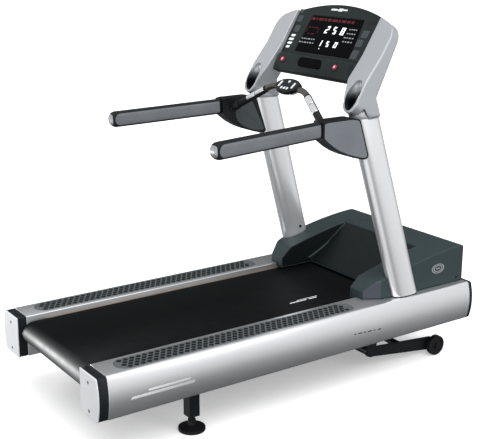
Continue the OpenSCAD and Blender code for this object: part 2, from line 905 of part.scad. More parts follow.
module lift_frame() {
    lever_end = [actuator_x, actuator_z];
    lever = (lever_end - lift_pivot) / lift_lever;
    slot_low = lift_pivot + lever * (lift_lever * cos(lift_lever_back) - lift_slot_gap);
    slot_high = lift_pivot + lever * (lift_lever + lift_slot_gap);
    color(near_black) difference() {
        union() {
            rod_y(lift_pivot[0], lift_pivot[1], lift_tube, -arm_y, arm_y);
            rod_y(on_arm(lift_tie)[0], on_arm(lift_tie)[1], lift_tube - 4, -arm_y, arm_y);
            for (side = [-1, 1]) on_side(side) {
                along_y(arm_y, arm_y + arm_thickness)
                    polygon(loop_outline(lift_pivot, 24, on_arm(0.94) + [0, 6], 33));
                rod_y(lift_wheel_x, wheel_radius, wheel_pin, arm_y, lift_y + wheel_half + 6);
                rod_y(lift_wheel_x, wheel_radius, wheel_pin + 5, lift_y + wheel_half + 1.5,
                    lift_y + wheel_half + 6);
            }
            along_y(-lever_half, lever_half) polygon(loop_outline(lift_pivot, 28, lever_end, 18));
        }
        along_y(-lever_half - over, lever_half + over)
            polygon(loop_outline(slot_low, lift_pin + lift_slot_gap, slot_high,
                lift_pin + lift_slot_gap));
        for (side = [-1, 1]) on_side(side)
            rod_y(lift_pivot[0], lift_pivot[1], pivot_pin + bearing_fit, arm_y - 40,
                arm_y + arm_thickness + over);
    }
}

module lift_brackets() {
    color(near_black) for (side = [-1, 1]) on_side(side) {
        along_y(bracket_plate_y, bracket_plate_y + bracket_wall)
            polygon(concat([[lift_pivot[0] + 46, rail_bottom], [lift_pivot[0] - 46, rail_bottom]],
                arc(lift_pivot, 22, 200, 340, 10)));
        rod_y(lift_pivot[0], lift_pivot[1], pivot_pin, arm_y - 38, bracket_plate_y + over);
    }
}

module lift_wheel(side) {
    color(near_black) on_side(side) difference() {
        union() {
            rod_y(lift_wheel_x, wheel_radius, wheel_radius, lift_y - wheel_half + 3,
                lift_y + wheel_half - 3);
            rod_y(lift_wheel_x, wheel_radius, wheel_radius - 4, lift_y - wheel_half,
                lift_y + wheel_half);
        }
        rod_y(lift_wheel_x, wheel_radius, wheel_pin + bearing_fit, 0, 600);
        for (y = [lift_y - wheel_half - over, lift_y + wheel_half - 6])
            difference() {
                rod_y(lift_wheel_x, wheel_radius, wheel_radius - 12, y, y + 6 + over);
                rod_y(lift_wheel_x, wheel_radius, wheel_pin + 8, y - over, y + 8 + over);
            }
    }
}

module lift_motor() {
    color(steel) difference() {
        union() {
            translate([gearbox_start, -32, rail_bottom + 3]) cube(gearbox_size);
            rod_y(gearbox_start + gearbox_size[0] / 2, rail_bottom + 25, 21, 78, 190);
            translate([actuator_base, 0, actuator_z]) rotate([0, 90, 0])
                cylinder(h = actuator_mouth - actuator_base, r = actuator_shell);
        }
        translate([actuator_inner_start - 12, 0, actuator_z]) rotate([0, 90, 0])
            cylinder(h = actuator_mouth, r = actuator_radius + bearing_fit);
    }
}

module lift_screw_tube() {
    color(steel) {
        translate([actuator_inner_start, 0, actuator_z]) rotate([0, 90, 0])
            cylinder(h = actuator_x - fork_depth - actuator_inner_start, r = actuator_radius);
        translate([actuator_x - fork_depth, -lever_half - fork_wall - 1, actuator_z - 12])
            cube([fork_base, 2 * (lever_half + fork_wall + 1), 24]);
        for (side = [-1, 1]) on_side(side) along_y(lever_half + 1, lever_half + 1 + fork_wall)
            polygon(loop_outline([actuator_x - 24, actuator_z], 11, [actuator_x, actuator_z], 11));
        rod_y(actuator_x, actuator_z, lift_pin, -lever_half - 2, lever_half + 2);
    }
}

module foot_legs() {
    color(near_black) for (side = [-1, 1]) on_side(side) difference() {
        translate([foot_x - leg_side / 2, foot_y - leg_side / 2, leg_bottom])
            cube([leg_side, leg_side, rail_bottom - leg_bottom]);
        translate([foot_x, foot_y, leg_bottom - over])
            cylinder(h = foot_stem_top - leg_bottom + 22, r = foot_stem_radius + bearing_fit);
    }
}

module levelling_foot(side) {
    color(near_black) on_side(side) translate([foot_x, foot_y, 0]) {
        cylinder(h = foot_pad_height, r = foot_pad_radius);
        translate([0, 0, foot_pad_height])
            cylinder(h = 10, r1 = foot_pad_radius - 8, r2 = foot_neck_radius + 2);
        cylinder(h = foot_neck_top, r = foot_neck_radius);
        cylinder(h = foot_stem_top, r = foot_stem_radius);
    }
}

side_rail(-1);  // side_rail_right
side_rail(1);  // side_rail_left
rear_bumpers();
rear_plate(-1);  // rear_plate_right
rear_plate(1);  // rear_plate_left
rear_plate_screws();
front_cap(-1);  // front_cap_right
front_cap(1);  // front_cap_left
grip_pad(-1);  // grip_pad_right
grip_pad(1);  // grip_pad_left
deck_board();
deck_cushions();
cross_members();
running_belt();
roller_axles();
rear_roller();
front_roller();
tension_bolts();
drive_motor();
motor_rotor();
drive_belt();
motor_mount();
controller_box();
power_inlet();
power_switch();
belly_pan();
motor_hood();
upright(-1);  // upright_right
upright(1);  // upright_left
upright_screws();
console_wing(-1);  // console_wing_right
console_wing(1);  // console_wing_left
console_face();
console_back();
display_window();
display_board();
lower_panel();
receiver_window();
round_key(stop_key_y);  // stop_key
round_key(start_key_y);  // start_key
handrail_bracket(-1);  // handrail_bracket_right
handrail_bracket(1);  // handrail_bracket_left
handrail(-1);  // handrail_right
handrail(1);  // handrail_left
handrail_tips();
cross_bar();
bar_grips();
pulse_sensors();
pod_housing();
pod_key(-1);  // pod_speed_key
pod_key(1);  // pod_incline_key
lift_frame();
lift_brackets();
lift_wheel(-1);  // lift_wheel_right
lift_wheel(1);  // lift_wheel_left
lift_motor();
lift_screw_tube();
foot_legs();
levelling_foot(-1);  // levelling_foot_right
levelling_foot(1);  // levelling_foot_left
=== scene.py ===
import json
import math

import bmesh
import bpy
from mathutils import Matrix, Vector


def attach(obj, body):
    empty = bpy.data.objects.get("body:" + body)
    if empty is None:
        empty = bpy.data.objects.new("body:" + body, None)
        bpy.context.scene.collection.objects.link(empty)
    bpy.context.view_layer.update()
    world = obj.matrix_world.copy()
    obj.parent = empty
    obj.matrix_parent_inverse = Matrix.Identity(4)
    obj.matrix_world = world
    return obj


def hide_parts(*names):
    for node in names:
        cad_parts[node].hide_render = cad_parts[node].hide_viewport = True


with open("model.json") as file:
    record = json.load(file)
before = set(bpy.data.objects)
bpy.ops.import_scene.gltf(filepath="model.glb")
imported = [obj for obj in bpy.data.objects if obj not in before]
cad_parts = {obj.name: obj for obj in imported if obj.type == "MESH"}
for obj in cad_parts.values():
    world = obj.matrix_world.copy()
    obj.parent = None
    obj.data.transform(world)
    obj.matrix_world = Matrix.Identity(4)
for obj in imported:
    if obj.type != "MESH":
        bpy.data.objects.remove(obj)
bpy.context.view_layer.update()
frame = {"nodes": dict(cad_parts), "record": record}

MM = 0.001
NODES = frame["nodes"]
RECORD = frame["record"]
SLOT_OF = {s["node"]: s["material_slot"] for s in RECORD["subparts"]}
BODY_OF = {n: b for b, members in RECORD["behaviour"]["bodies"].items() for n in members}
SIDES = {"right": -1, "left": 1}
scene = bpy.context.scene

# ---- camera

CAMERA_PLACE = Vector((-2.5596, -3.6739, 2.0091))
CAMERA_HEADING = 0.602
CAMERA_DIP = 0.2724
CAMERA_ROLL = 0.0018
CAMERA_LENS = 75.58


def make_camera():
    """A camera at the photograph's viewing angle."""
    forward = Vector((math.sin(CAMERA_HEADING) * math.cos(CAMERA_DIP),
                      math.cos(CAMERA_HEADING) * math.cos(CAMERA_DIP), -math.sin(CAMERA_DIP)))
    level = Vector((math.cos(CAMERA_HEADING), -math.sin(CAMERA_HEADING), 0))
    rise = level.cross(forward)
    right = level * math.cos(CAMERA_ROLL) + rise * math.sin(CAMERA_ROLL)
    up = rise * math.cos(CAMERA_ROLL) - level * math.sin(CAMERA_ROLL)
    data = bpy.data.cameras.new("camera")
    data.lens = CAMERA_LENS
    data.sensor_width = 36
    data.clip_end = 100
    camera = bpy.data.objects.new("camera", data)
    scene.collection.objects.link(camera)
    camera.matrix_world = Matrix((
        (right.x, up.x, -forward.x, CAMERA_PLACE.x),
        (right.y, up.y, -forward.y, CAMERA_PLACE.y),
        (right.z, up.z, -forward.z, CAMERA_PLACE.z),
        (0, 0, 0, 1)))
    scene.camera = camera


make_camera()

# ---- materials

MATERIALS = {}
NOISE_LOW, NOISE_HIGH = 0.3, 0.7
POLISH_FINER = 4.3
RELIEF_DEPTH = 0.0006


def shader_node(tree, kind, inputs, output=None, **settings):
    """A shader node, or one of its outputs; each input is a value or another node's output."""
    made = tree.nodes.new("ShaderNode" + kind)
    for key, value in settings.items():
        setattr(made, key, value)
    for key, value in inputs.items():
        if isinstance(value, bpy.types.NodeSocket):
            tree.links.new(value, made.inputs[key])
        else:
            made.inputs[key].default_value = value
    return made.outputs[output] if output else made


def material(name, color, rough, metallic=0.0, vary=0.06, cloud=7.0, grain=0.0, grain_scale=1400.0,
             rough_vary=0.05, stretch=None, weave=0.0, weave_scale=700.0, emission=0.0, shine=0.5):
    """A procedural finish: clouded colour and roughness, and a fine grain or weave."""
    mat = bpy.data.materials.new(name)
    mat.use_nodes = True
    tree = mat.node_tree
    tree.nodes.clear()
    place = shader_node(tree, "TexCoord", {}, "Object")
    source = place
    if stretch:
        source = shader_node(tree, "Mapping", {"Vector": place, "Scale": stretch}, "Vector")
    clouds = shader_node(tree, "TexNoise", {
        "Vector": source, "Scale": cloud, "Detail": 5.0, "Roughness": 0.62}, "Fac")
    tint = shader_node(tree, "ValToRGB", {"Fac": clouds})
    for element, position, shift in zip(tint.color_ramp.elements, (NOISE_LOW, NOISE_HIGH), (-vary, vary)):
        element.position = position
        element.color = [min(1, c * (1 + shift)) for c in color] + [1]
    polish = shader_node(tree, "TexNoise", {
        "Vector": source, "Scale": cloud * POLISH_FINER, "Detail": 4.0}, "Fac")
    satin = shader_node(tree, "MapRange", {
        "Value": polish, "From Min": NOISE_LOW, "From Max": NOISE_HIGH,
        "To Min": max(0.02, rough - rough_vary), "To Max": min(1.0, rough + rough_vary)}, "Result")
    look = {"Base Color": tint.outputs["Color"], "Roughness": satin,
            "Metallic": metallic, "Specular IOR Level": shine}
    if weave:
        relief = shader_node(tree, "TexChecker", {"Vector": place, "Scale": weave_scale}, "Fac")
    elif grain:
        relief = shader_node(tree, "TexNoise", {"Vector": source, "Scale": grain_scale, "Detail": 2.0}, "Fac")
    if weave or grain:
        look["Normal"] = shader_node(tree, "Bump", {
            "Height": relief, "Strength": weave or grain, "Distance": RELIEF_DEPTH}, "Normal")
    if emission:
        look["Emission Color"] = list(color) + [1]
        look["Emission Strength"] = emission
    shader_node(tree, "OutputMaterial", {"Surface": shader_node(tree, "BsdfPrincipled", look, "BSDF")})
    MATERIALS[name] = mat
    return mat


def silver(name, color, rough, metallic, **more):
    """Silver paint: fine flakes under a satin surface."""
    settings = dict(vary=0.025, cloud=3.2, grain=0.02, grain_scale=2200.0, rough_vary=0.04)
    settings.update(more)
    return material(name, color, rough, metallic, **settings)


def moulded(name, color, rough, **more):
    """Moulded plastic with a fine grain."""
    settings = dict(vary=0.09, cloud=6.0, grain=0.22, grain_scale=1500.0, shine=0.3)
    settings.update(more)
    return material(name, color, rough, **settings)


# The record's material slots, each with its colour, roughness and, for paint and metal, metallic share
silver("rail_silver", (0.67, 0.68, 0.70), 0.31, 0.86, rough_vary=0.02, stretch=(0.35, 1, 1))
silver("upright_silver", (0.76, 0.77, 0.79), 0.28, 0.76, vary=0.008, grain=0.0, rough_vary=0.0,
       stretch=(1, 1, 0.35))
silver("wing_silver", (0.35, 0.365, 0.385), 0.38, 0.45)
silver("tip_silver", (0.30, 0.31, 0.33), 0.38, 0.6)
silver("bar_silver", (0.62, 0.63, 0.65), 0.22, 0.85)
moulded("black_plastic", (0.007, 0.010, 0.013), 0.42, shine=0.2)
moulded("grip_pad", (0.080, 0.092, 0.098), 0.62, vary=0.12, cloud=16.0)
moulded("cushion_rubber", (0.02, 0.02, 0.02), 0.7)
moulded("motor_black", (0.02, 0.022, 0.024), 0.35, grain_scale=500.0)
moulded("drive_rubber", (0.014, 0.014, 0.014), 0.6)
moulded("hood_dark", (0.024, 0.037, 0.039), 0.50, vary=0.05, shine=0.2)
moulded("console_dark", (0.008, 0.013, 0.0135), 0.48, vary=0.05, shine=0.15)
moulded("board_green", (0.02, 0.11, 0.04), 0.4, cloud=40.0)
moulded("key_red", (0.34, 0.030, 0.060), 0.32, grain=0.06, cloud=40.0)
moulded("handrail_grey", (0.125, 0.135, 0.148), 0.50, grain=0.3, cloud=9.0)
moulded("bracket_grey", (0.130, 0.142, 0.158), 0.46, grain=0.2, cloud=9.0)
moulded("grip_black", (0.009, 0.010, 0.011), 0.55, shine=0.15, grain=0.35, grain_scale=900.0)
moulded("pod_black", (0.005, 0.006, 0.007), 0.28, grain=0.05, shine=0.12)
moulded("pod_key_silver", (0.66, 0.68, 0.70), 0.3, grain=0.05, vary=0.04)
moulded("black_paint", (0.006, 0.007, 0.008), 0.34, shine=0.15, grain=0.12, grain_scale=420.0)
moulded("wheel_rubber", (0.008, 0.008, 0.009), 0.58, shine=0.15, grain=0.3, cloud=22.0)
moulded("foot_rubber", (0.006, 0.006, 0.007), 0.5, shine=0.15, grain=0.25, cloud=22.0)
material("deck_wood", (0.27, 0.17, 0.09), 0.45, vary=0.22, cloud=5.0, stretch=(0.25, 6, 6), grain=0.15,
         grain_scale=220.0)
material("steel", (0.42, 0.43, 0.45), 0.32, 1.0, vary=0.08, cloud=10.0, stretch=(6, 0.4, 6), grain=0.06,
         grain_scale=700.0)
material("belt_black", (0.0014, 0.0022, 0.0024), 0.56, vary=0.10, cloud=4.0, weave=0.05, weave_scale=520.0,
         shine=0.07, rough_vary=0.03)
material("controller_grey", (0.20, 0.205, 0.21), 0.5, 0.8, vary=0.1, grain=0.2, grain_scale=800.0)
material("black_steel", (0.018, 0.018, 0.019), 0.34, 0.4, vary=0.2, cloud=60.0, grain=0.1, grain_scale=2000.0)
material("display_black", (0.0015, 0.0015, 0.002), 0.16, vary=0.1, shine=0.02, rough_vary=0.03)
material("sensor_steel", (0.68, 0.69, 0.70), 0.24, 1.0, vary=0.06, cloud=30.0, stretch=(1, 6, 6), grain=0.05,
         grain_scale=900.0)

# Finishes of smaller pieces
PLATE_SILVER = silver("plate_silver", (0.60, 0.61, 0.63), 0.42, 0.30)
STRIPE_SILVER = silver("stripe_silver", (0.80, 0.81, 0.82), 0.30, 0.5)
BAR_BRONZE = silver("bar_bronze", (0.10, 0.095, 0.085), 0.28, 0.85)
STUD_RUBBER = moulded("stud_rubber", (0.006, 0.007, 0.008), 0.6, cloud=30.0, shine=0.15)
SLATE_KEY = moulded("slate_key", (0.030, 0.038, 0.046), 0.45, cloud=30.0)
DIGIT_SILVER = moulded("digit_silver", (0.62, 0.66, 0.68), 0.35, cloud=60.0)
RAMP_DARK = moulded("ramp_dark", (0.0050, 0.0080, 0.0090), 0.50, vary=0.05, shine=0.12)
PANEL_SLATE = moulded("panel_slate", (0.040, 0.044, 0.056), 0.42)
PALE_PINK = moulded("pale_pink", (0.72, 0.46, 0.52), 0.4, cloud=60.0)
TRIM_BLACK = moulded("trim_black", (0.007, 0.008, 0.009), 0.4, shine=0.15)
# The brackets' inner linings: a darker grey that is painted shade from the upright and wing
LINING_PAINTED_SHADE = moulded("lining_painted_shade", (0.040, 0.050, 0.053), 0.45)
WHITE_PRINT = material("white_print", (0.72, 0.75, 0.77), 0.4, vary=0.05, cloud=60.0, grain=0.05)
DIGIT_WHITE = material("digit_white", (0.86, 0.90, 0.92), 0.4, vary=0.03, cloud=60.0, emission=0.55)
DIM_RED = material("dim_red", (0.075, 0.008, 0.012), 0.4, vary=0.3, cloud=90.0, emission=0.06, shine=0.1)
DIM_WHITE = material("dim_white", (0.22, 0.23, 0.24), 0.4, vary=0.15, cloud=80.0)

# ---- mesh helpers

WELD, NODE_WELD = 1e-6, 2e-5
SHARP = 32


def finish_mesh(name, bm, slot=None, mats=None, smooth=SHARP, body="base", node=None):
    """Turns a bmesh in metres into a piece; with a slot it rides on a body, and it may replace a CAD node."""
    bmesh.ops.recalc_face_normals(bm, faces=bm.faces)
    data = bpy.data.meshes.new(name)
    bm.to_mesh(data)
    bm.free()
    if slot and not mats:
        mats = MATERIALS[slot]
    for m in (mats if isinstance(mats, (list, tuple)) else [mats]):
        data.materials.append(m)
    data.shade_smooth()
    data.set_sharp_from_angle(angle=math.radians(smooth))
    obj = bpy.data.objects.new(name, data)
    scene.collection.objects.link(obj)
    if slot:
        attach(obj, body)
    if node:
        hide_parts(node)
    return obj


def soften(obj, width, segments=2, angle=30, limit=True):
    """Rounds the sharp edges of a piece."""
    edge = obj.modifiers.new("edge", "BEVEL")
    edge.width = width * MM
    edge.segments = segments
    edge.limit_method = "ANGLE"
    edge.angle_limit = math.radians(angle)
    edge.use_clamp_overlap = limit
    edge.harden_normals = True


def bake_modifiers(obj):
    """Applies a piece's modifiers to its mesh."""
    bpy.context.view_layer.update()
    evaluated = obj.evaluated_get(bpy.context.evaluated_depsgraph_get())
    data = bpy.data.meshes.new_from_object(evaluated)
    old = obj.data
    obj.modifiers.clear()
    obj.data = data
    bpy.data.meshes.remove(old)


def carve(obj, bm, operation="DIFFERENCE"):
    """Cuts a piece with a closed bmesh."""
    cutter = finish_mesh("cutter", bm, mats=TRIM_BLACK)
    cut = obj.modifiers.new("cut", "BOOLEAN")
    cut.operation = operation
    cut.solver = "EXACT"
    cut.object = cutter
    bake_modifiers(obj)
    bpy.data.objects.remove(cutter)
    obj.data.shade_smooth()
    obj.data.set_sharp_from_angle(angle=math.radians(SHARP))


def organic(obj, voxel, relax_steps):
    """Melts a piece's hard edges: an even remesh, then relaxed."""
    melt = obj.modifiers.new("melt", "REMESH")
    melt.mode = "VOXEL"
    melt.voxel_size = voxel * MM
    melt.use_smooth_shade = True
    relax = obj.modifiers.new("relax", "SMOOTH")
    relax.factor = 0.5
    relax.iterations = relax_steps
    bake_modifiers(obj)
    obj.data.shade_smooth()


def loft(bm, rings, caps=True, index=0):
    """Joins rings of points, in mm, into a skin; each ring has the same number of points."""
    rows = [[bm.verts.new(Vector(p) * MM) for p in ring] for ring in rings]
    count = len(rows[0])
    for a, b in zip(rows, rows[1:]):
        for k in range(count):
            bm.faces.new((a[k], a[(k + 1) % count], b[(k + 1) % count], b[k])).material_index = index
    if caps:
        for row in (rows[0][::-1], rows[-1]):
            bm.faces.new(row).material_index = index
    return bm


def loop(bm, rings):
    """A skin whose last ring lies on its first."""
    loft(bm, rings, caps=False)
    bmesh.ops.remove_doubles(bm, verts=bm.verts, dist=WELD)
    return bm


def prism(outline, depths, place, bm=None):
    """A solid between two depths: outline is (u, v) in mm and place turns (depth, u, v) into a point."""
    return loft(bm or bmesh.new(), [[place(d, u, v) for u, v in outline] for d in depths])


def stepped(outline_at, levels, place):
    """Rings for loft: the outline at each level's inset, at each level's depth."""
    return [[place(d, u, v) for u, v in outline_at(inset)] for d, inset in levels]


def polar(degrees, radius=1.0):
    """A step in a plane: how far along and how far up."""
    t = math.radians(degrees)
    return radius * math.cos(t), radius * math.sin(t)


def arc(centre, radius, start, end, steps):
    """Points of an arc in a plane; angles in degrees."""
    turns = [polar(start + (end - start) * k / steps, radius) for k in range(steps + 1)]
    return [(centre[0] + u, centre[1] + v) for u, v in turns]


def oval(a, b, power=2.4, steps=72):
    """Points of a superellipse."""
    points = []
    for k in range(steps):
        t = 2 * math.pi * k / steps
        c, s = math.cos(t), math.sin(t)
        points.append((a * math.copysign(abs(c) ** (2 / power), c),
                       b * math.copysign(abs(s) ** (2 / power), s)))
    return points


def spin(axis_start, axis_end, facing):
    """Places (share of the way, radius, degrees) round a line; facing is the direction of 0 degrees."""
    a, b = Vector(axis_start), Vector(axis_end)
    ahead = (b - a).normalized()
    first = (Vector(facing) - ahead * ahead.dot(Vector(facing))).normalized()
    second = ahead.cross(first)

    def place(share, radius, degrees):
        c, s = polar(degrees)
        return tuple(a + (b - a) * share + (first * c + second * s) * radius)
    return place


def tube(bm, points, radius, steps):
    """A round bar along a path of points, in mm."""
    rings = []
    for k, point in enumerate(points):
        ahead = (points[min(k + 1, len(points) - 1)] - points[max(k - 1, 0)]).normalized()
        side = ahead.cross(Vector((0, 0, 1))).normalized()
        rise = side.cross(ahead)
        rings.append([point + side * u + rise * v for u, v in oval(radius, radius, 2, steps)])
    return loft(bm, rings)


def curve(a, here, c, steps):
    """Points of the smooth curve from a to c that leans towards here."""
    return [a * (1 - t) ** 2 + here * 2 * t * (1 - t) + c * t * t
            for t in [j / steps for j in range(steps + 1)]]


def bent(points, reach, steps):
    """A path through the points whose corners are rounded."""
    marks = [Vector(p) for p in points]
    path = [marks[0]]
    for before, here, after in zip(marks, marks[1:], marks[2:]):
        path += curve(here + (before - here).normalized() * reach, here,
                      here + (after - here).normalized() * reach, steps)
    return path + [marks[-1]]


def neighbours(outline):
    """Each corner of a closed outline, between the ones before and after it."""
    count = len(outline)
    return [[Vector(outline[(k + j) % count]) for j in (-1, 0, 1)] for k in range(count)]


def rounded_outline(corners, radius, steps=5):
    """A polygon's points with each corner cut to a round of about the given reach."""
    points = []
    for before, here, after in neighbours(corners):
        reach_in = min(radius, (before - here).length / 2.05)
        reach_out = min(radius, (after - here).length / 2.05)
        points += [tuple(p) for p in curve(here + (before - here).normalized() * reach_in, here,
                                           here + (after - here).normalized() * reach_out, steps)]
    return points


def shrink(outline, inset):
    """An outline moved inward; outline runs anticlockwise."""
    moved = []
    for before, here, after in neighbours(outline):
        ahead = (after - before).normalized()
        moved.append((here.x - ahead.y * inset, here.y + ahead.x * inset))
    return moved


def plate(bm, outline, place, hidden, face, edge=0.6):
    """A thin closed plate between two depths, with a rounded rim on its visible face."""
    step = edge if face > hidden else -edge
    levels = ((hidden, 0), (face - step, 0), (face - step * 0.3, edge * 0.3), (face, edge),
              (face, edge * 1.5))
    return loft(bm, stepped(lambda inset: shrink(outline, inset), levels, place))


def block(u, v, width, height, lean=0.0):
    """Four corners of a slanted bar, anticlockwise, centred on (u, v)."""
    w, h = width / 2, height / 2
    return [(u - w - lean * h, v - h), (u + w - lean * h, v - h), (u + w + lean * h, v + h),
            (u - w + lean * h, v + h)]


def dot(u, v, radius, steps=28):
    """A round outline, anticlockwise."""
    turns = [2 * math.pi * k / steps for k in range(steps)]
    return [(u + radius * math.cos(t), v + radius * math.sin(t)) for t in turns]


def collar(bm, place, u, v, inner, outer, hidden, face, rim=0.6, steps=40):
    """A flat ring round a hole, with rounded rims."""
    step = rim if face > hidden else -rim
    rings = []
    for t in [2 * math.pi * k / steps for k in range(steps + 1)]:
        rings.append([place(d, u + r * math.cos(t), v + r * math.sin(t))
                      for r, d in ((inner, hidden), (inner, face - step), (inner + rim, face),
                                   (outer - rim, face), (outer, face - step), (outer, hidden))])
    return loop(bm, rings)


def node_copy(node, name=None, width=0.8, segments=2, mats=None, angle=30, smooth=SHARP, paint=None,
              limit=True):
    """A piece shaped from a CAD node's faces, with its flat faces joined and its edges rounded."""
    bm = bmesh.new()
    bm.from_mesh(NODES[node].data)
    bmesh.ops.remove_doubles(bm, verts=bm.verts, dist=NODE_WELD)
    bmesh.ops.dissolve_limit(bm, angle_limit=math.radians(0.5), verts=bm.verts, edges=bm.edges)
    bm.normal_update()
    for face in bm.faces:
        face.material_index = paint(face) if paint else 0
    obj = finish_mesh(name or node + "_finished", bm, SLOT_OF[node], mats, smooth, BODY_OF[node], node)
    if width:
        soften(obj, width, segments, angle, limit)
    return obj


def side_of(points, side):
    """The same points on one side: drawn on the left, mirrored for the right."""
    return [(p[0], side * p[1], p[2]) for p in points]


# ---- rails

RAIL_TOP, RAIL_BOTTOM, RAIL_INNER, RAIL_OUTER = 394.0, 207.0, 312.0, 469.5
RAIL_START, RAIL_END = -969.0, 990.0
RAIL_AXIS = 384.0
BULGE, CORNER, LIP = 14.0, 14.0, 3.0
RAIL_MIDDLE = (RAIL_TOP + RAIL_BOTTOM) / 2
HALF_CHORD = (RAIL_TOP - RAIL_BOTTOM) / 2 - CORNER / 2
BULGE_RADIUS = (HALF_CHORD ** 2 + BULGE ** 2) / (2 * BULGE)
BULGE_CENTRE = RAIL_OUTER - BULGE_RADIUS


def rail_outline(inset):
    """Outline of a rail in Y and Z, moved inward by inset."""
    half = (RAIL_TOP - RAIL_BOTTOM) / 2
    corner_y = BULGE_CENTRE + math.sqrt((BULGE_RADIUS - CORNER) ** 2 - (half - CORNER) ** 2)
    angle = math.degrees(math.atan2(half - CORNER, corner_y - BULGE_CENTRE))
    r = max(CORNER - inset, 0.5)
    return (arc((RAIL_INNER + inset + LIP, RAIL_TOP - inset - LIP), LIP, 90, 180, 4)
            + arc((RAIL_INNER + inset + LIP, RAIL_BOTTOM + inset + LIP), LIP, 180, 270, 4)
            + arc((corner_y, RAIL_BOTTOM + CORNER), r, -90, -angle, 8)
            + arc((BULGE_CENTRE, RAIL_MIDDLE), BULGE_RADIUS - inset, -angle, angle, 28)[1:-1]
            + arc((corner_y, RAIL_TOP - CORNER), r, angle, 90, 8))


def rail_rings(sections, side):
    """Rings of the rail's outline: sections are (x, inset)."""
    return [side_of([(x, y, z) for y, z in rail_outline(inset)], side) for x, inset in sections]


def rail_piece(name, node, sections, side, slot, mats=None):
    """A piece with the rail's outline along X, which replaces a CAD node."""
    return finish_mesh(name, loft(bmesh.new(), rail_rings(sections, side)), slot, mats, node=node)


def rounded(start, end, inset, radius, steps=4):
    """Sections along X of a block whose two ends are rounded."""
    turns = [polar(90 * k / steps) for k in range(steps + 1)]
    first = [(start + radius * (1 - c), inset + radius * (1 - s)) for c, s in turns]
    last = [(end - radius * (1 - c), inset + radius * (1 - s)) for c, s in reversed(turns)]
    return [(start, inset + radius + 1.0)] + first + last + [(end, inset + radius + 1.0)]


def stadium(length, width, inset, steps=20):
    """Outline with two round ends, from x = 0, centred on y = 0."""
    r = width / 2
    return arc((length - r, 0), r - inset, -90, 90, steps) + arc((r, 0), r - inset, 90, 270, steps)


PLATE_BACK, PLATE_FRONT, CAP_START, CAP_BEND = -1015.0, -1009.2, 990.0, 1002.0
BUMPER = ((-1009.0, 3.2), (-1008.0, 2.2), (-1004.0, 2.0), (-1003.0, 3.6), (-1001.0, 3.6), (-1000.0, 2.0),
          (-971.5, 2.0), (-970.2, 2.6), (-969.2, 4.2))
SCREW_HEIGHTS = (234.5, 354.5)
SCREW_HOLE = 7.4


def make_rails():
    """Rails, rear plates with their screw recesses, bumpers and rounded front caps."""
    cap = [(CAP_START, 0.8), (CAP_START + 0.6, 0.0), (CAP_BEND, 0.0)]
    cap += [(CAP_BEND + 13 * s, 9 - 9 * c) for c, s in [polar(a) for a in range(15, 91, 15)]]
    for name, side in SIDES.items():
        rail_piece("rail_" + name, "side_rail_" + name, rounded(RAIL_START, RAIL_END, 0, 1.2), side,
                   "rail_silver")
        cover = rail_piece("rear_plate_cover_" + name, "rear_plate_" + name,
                           rounded(PLATE_BACK, PLATE_FRONT, 0.6, 2.2), side, "rail_silver", PLATE_SILVER)
        holes = bmesh.new()
        for z in SCREW_HEIGHTS:
            loft(holes, [[(x, side * (RAIL_AXIS + u), z + v) for u, v in oval(SCREW_HOLE, SCREW_HOLE, 2, 32)]
                         for x in (PLATE_BACK - 5, PLATE_BACK + 3.6)])
        carve(cover, holes)
        rail_piece("front_cap_cover_" + name, "front_cap_" + name, cap, side, "black_plastic")
    bm = bmesh.new()
    for side in SIDES.values():
        loft(bm, rail_rings(BUMPER, side))
    finish_mesh("rear_bumper_blocks", bm, "black_plastic", node="rear_bumpers")
    node_copy("rear_plate_screws", width=0.35)
    make_rail_marks()


def make_rail_marks():
    """A plain double stripe near each rail's rear end, and small dashes near its front."""
    for name, side in SIDES.items():
        def place(depth, u, v):
            face = BULGE_CENTRE + math.sqrt(BULGE_RADIUS ** 2 - (v - RAIL_MIDDLE) ** 2)
            return -u, side * (face + depth), v
        bm = bmesh.new()
        for u, v, width, height in ((728, 283, 288, 11), (700, 300, 190, 8)):
            plate(bm, block(u, v, width, height, -0.5), place, -0.6, 0.45, 0.3)
        finish_mesh("rail_stripe_" + name, bm, "rail_silver", STRIPE_SILVER)
        bm = bmesh.new()
        for k, width in enumerate((16, 34, 22, 40, 14, 30)):
            plate(bm, block(-262 - 29 * k, 292 - 1.6 * k, width * 0.6, 5, -0.3), place, -0.4, 0.3, 0.2)
        finish_mesh("rail_dashes_" + name, bm, "black_plastic", TRIM_BLACK)


PAD_START, PAD_LENGTH, PAD_WIDTH = -900.0, 1205.0, 104.0
STUD_ROWS, STUD_COLUMNS, STUD_PITCH, STUD_ROW_PITCH, STUD_HALF, FIRST_STUD = 4, 39, 29.0, 22.0, 13.2, 38


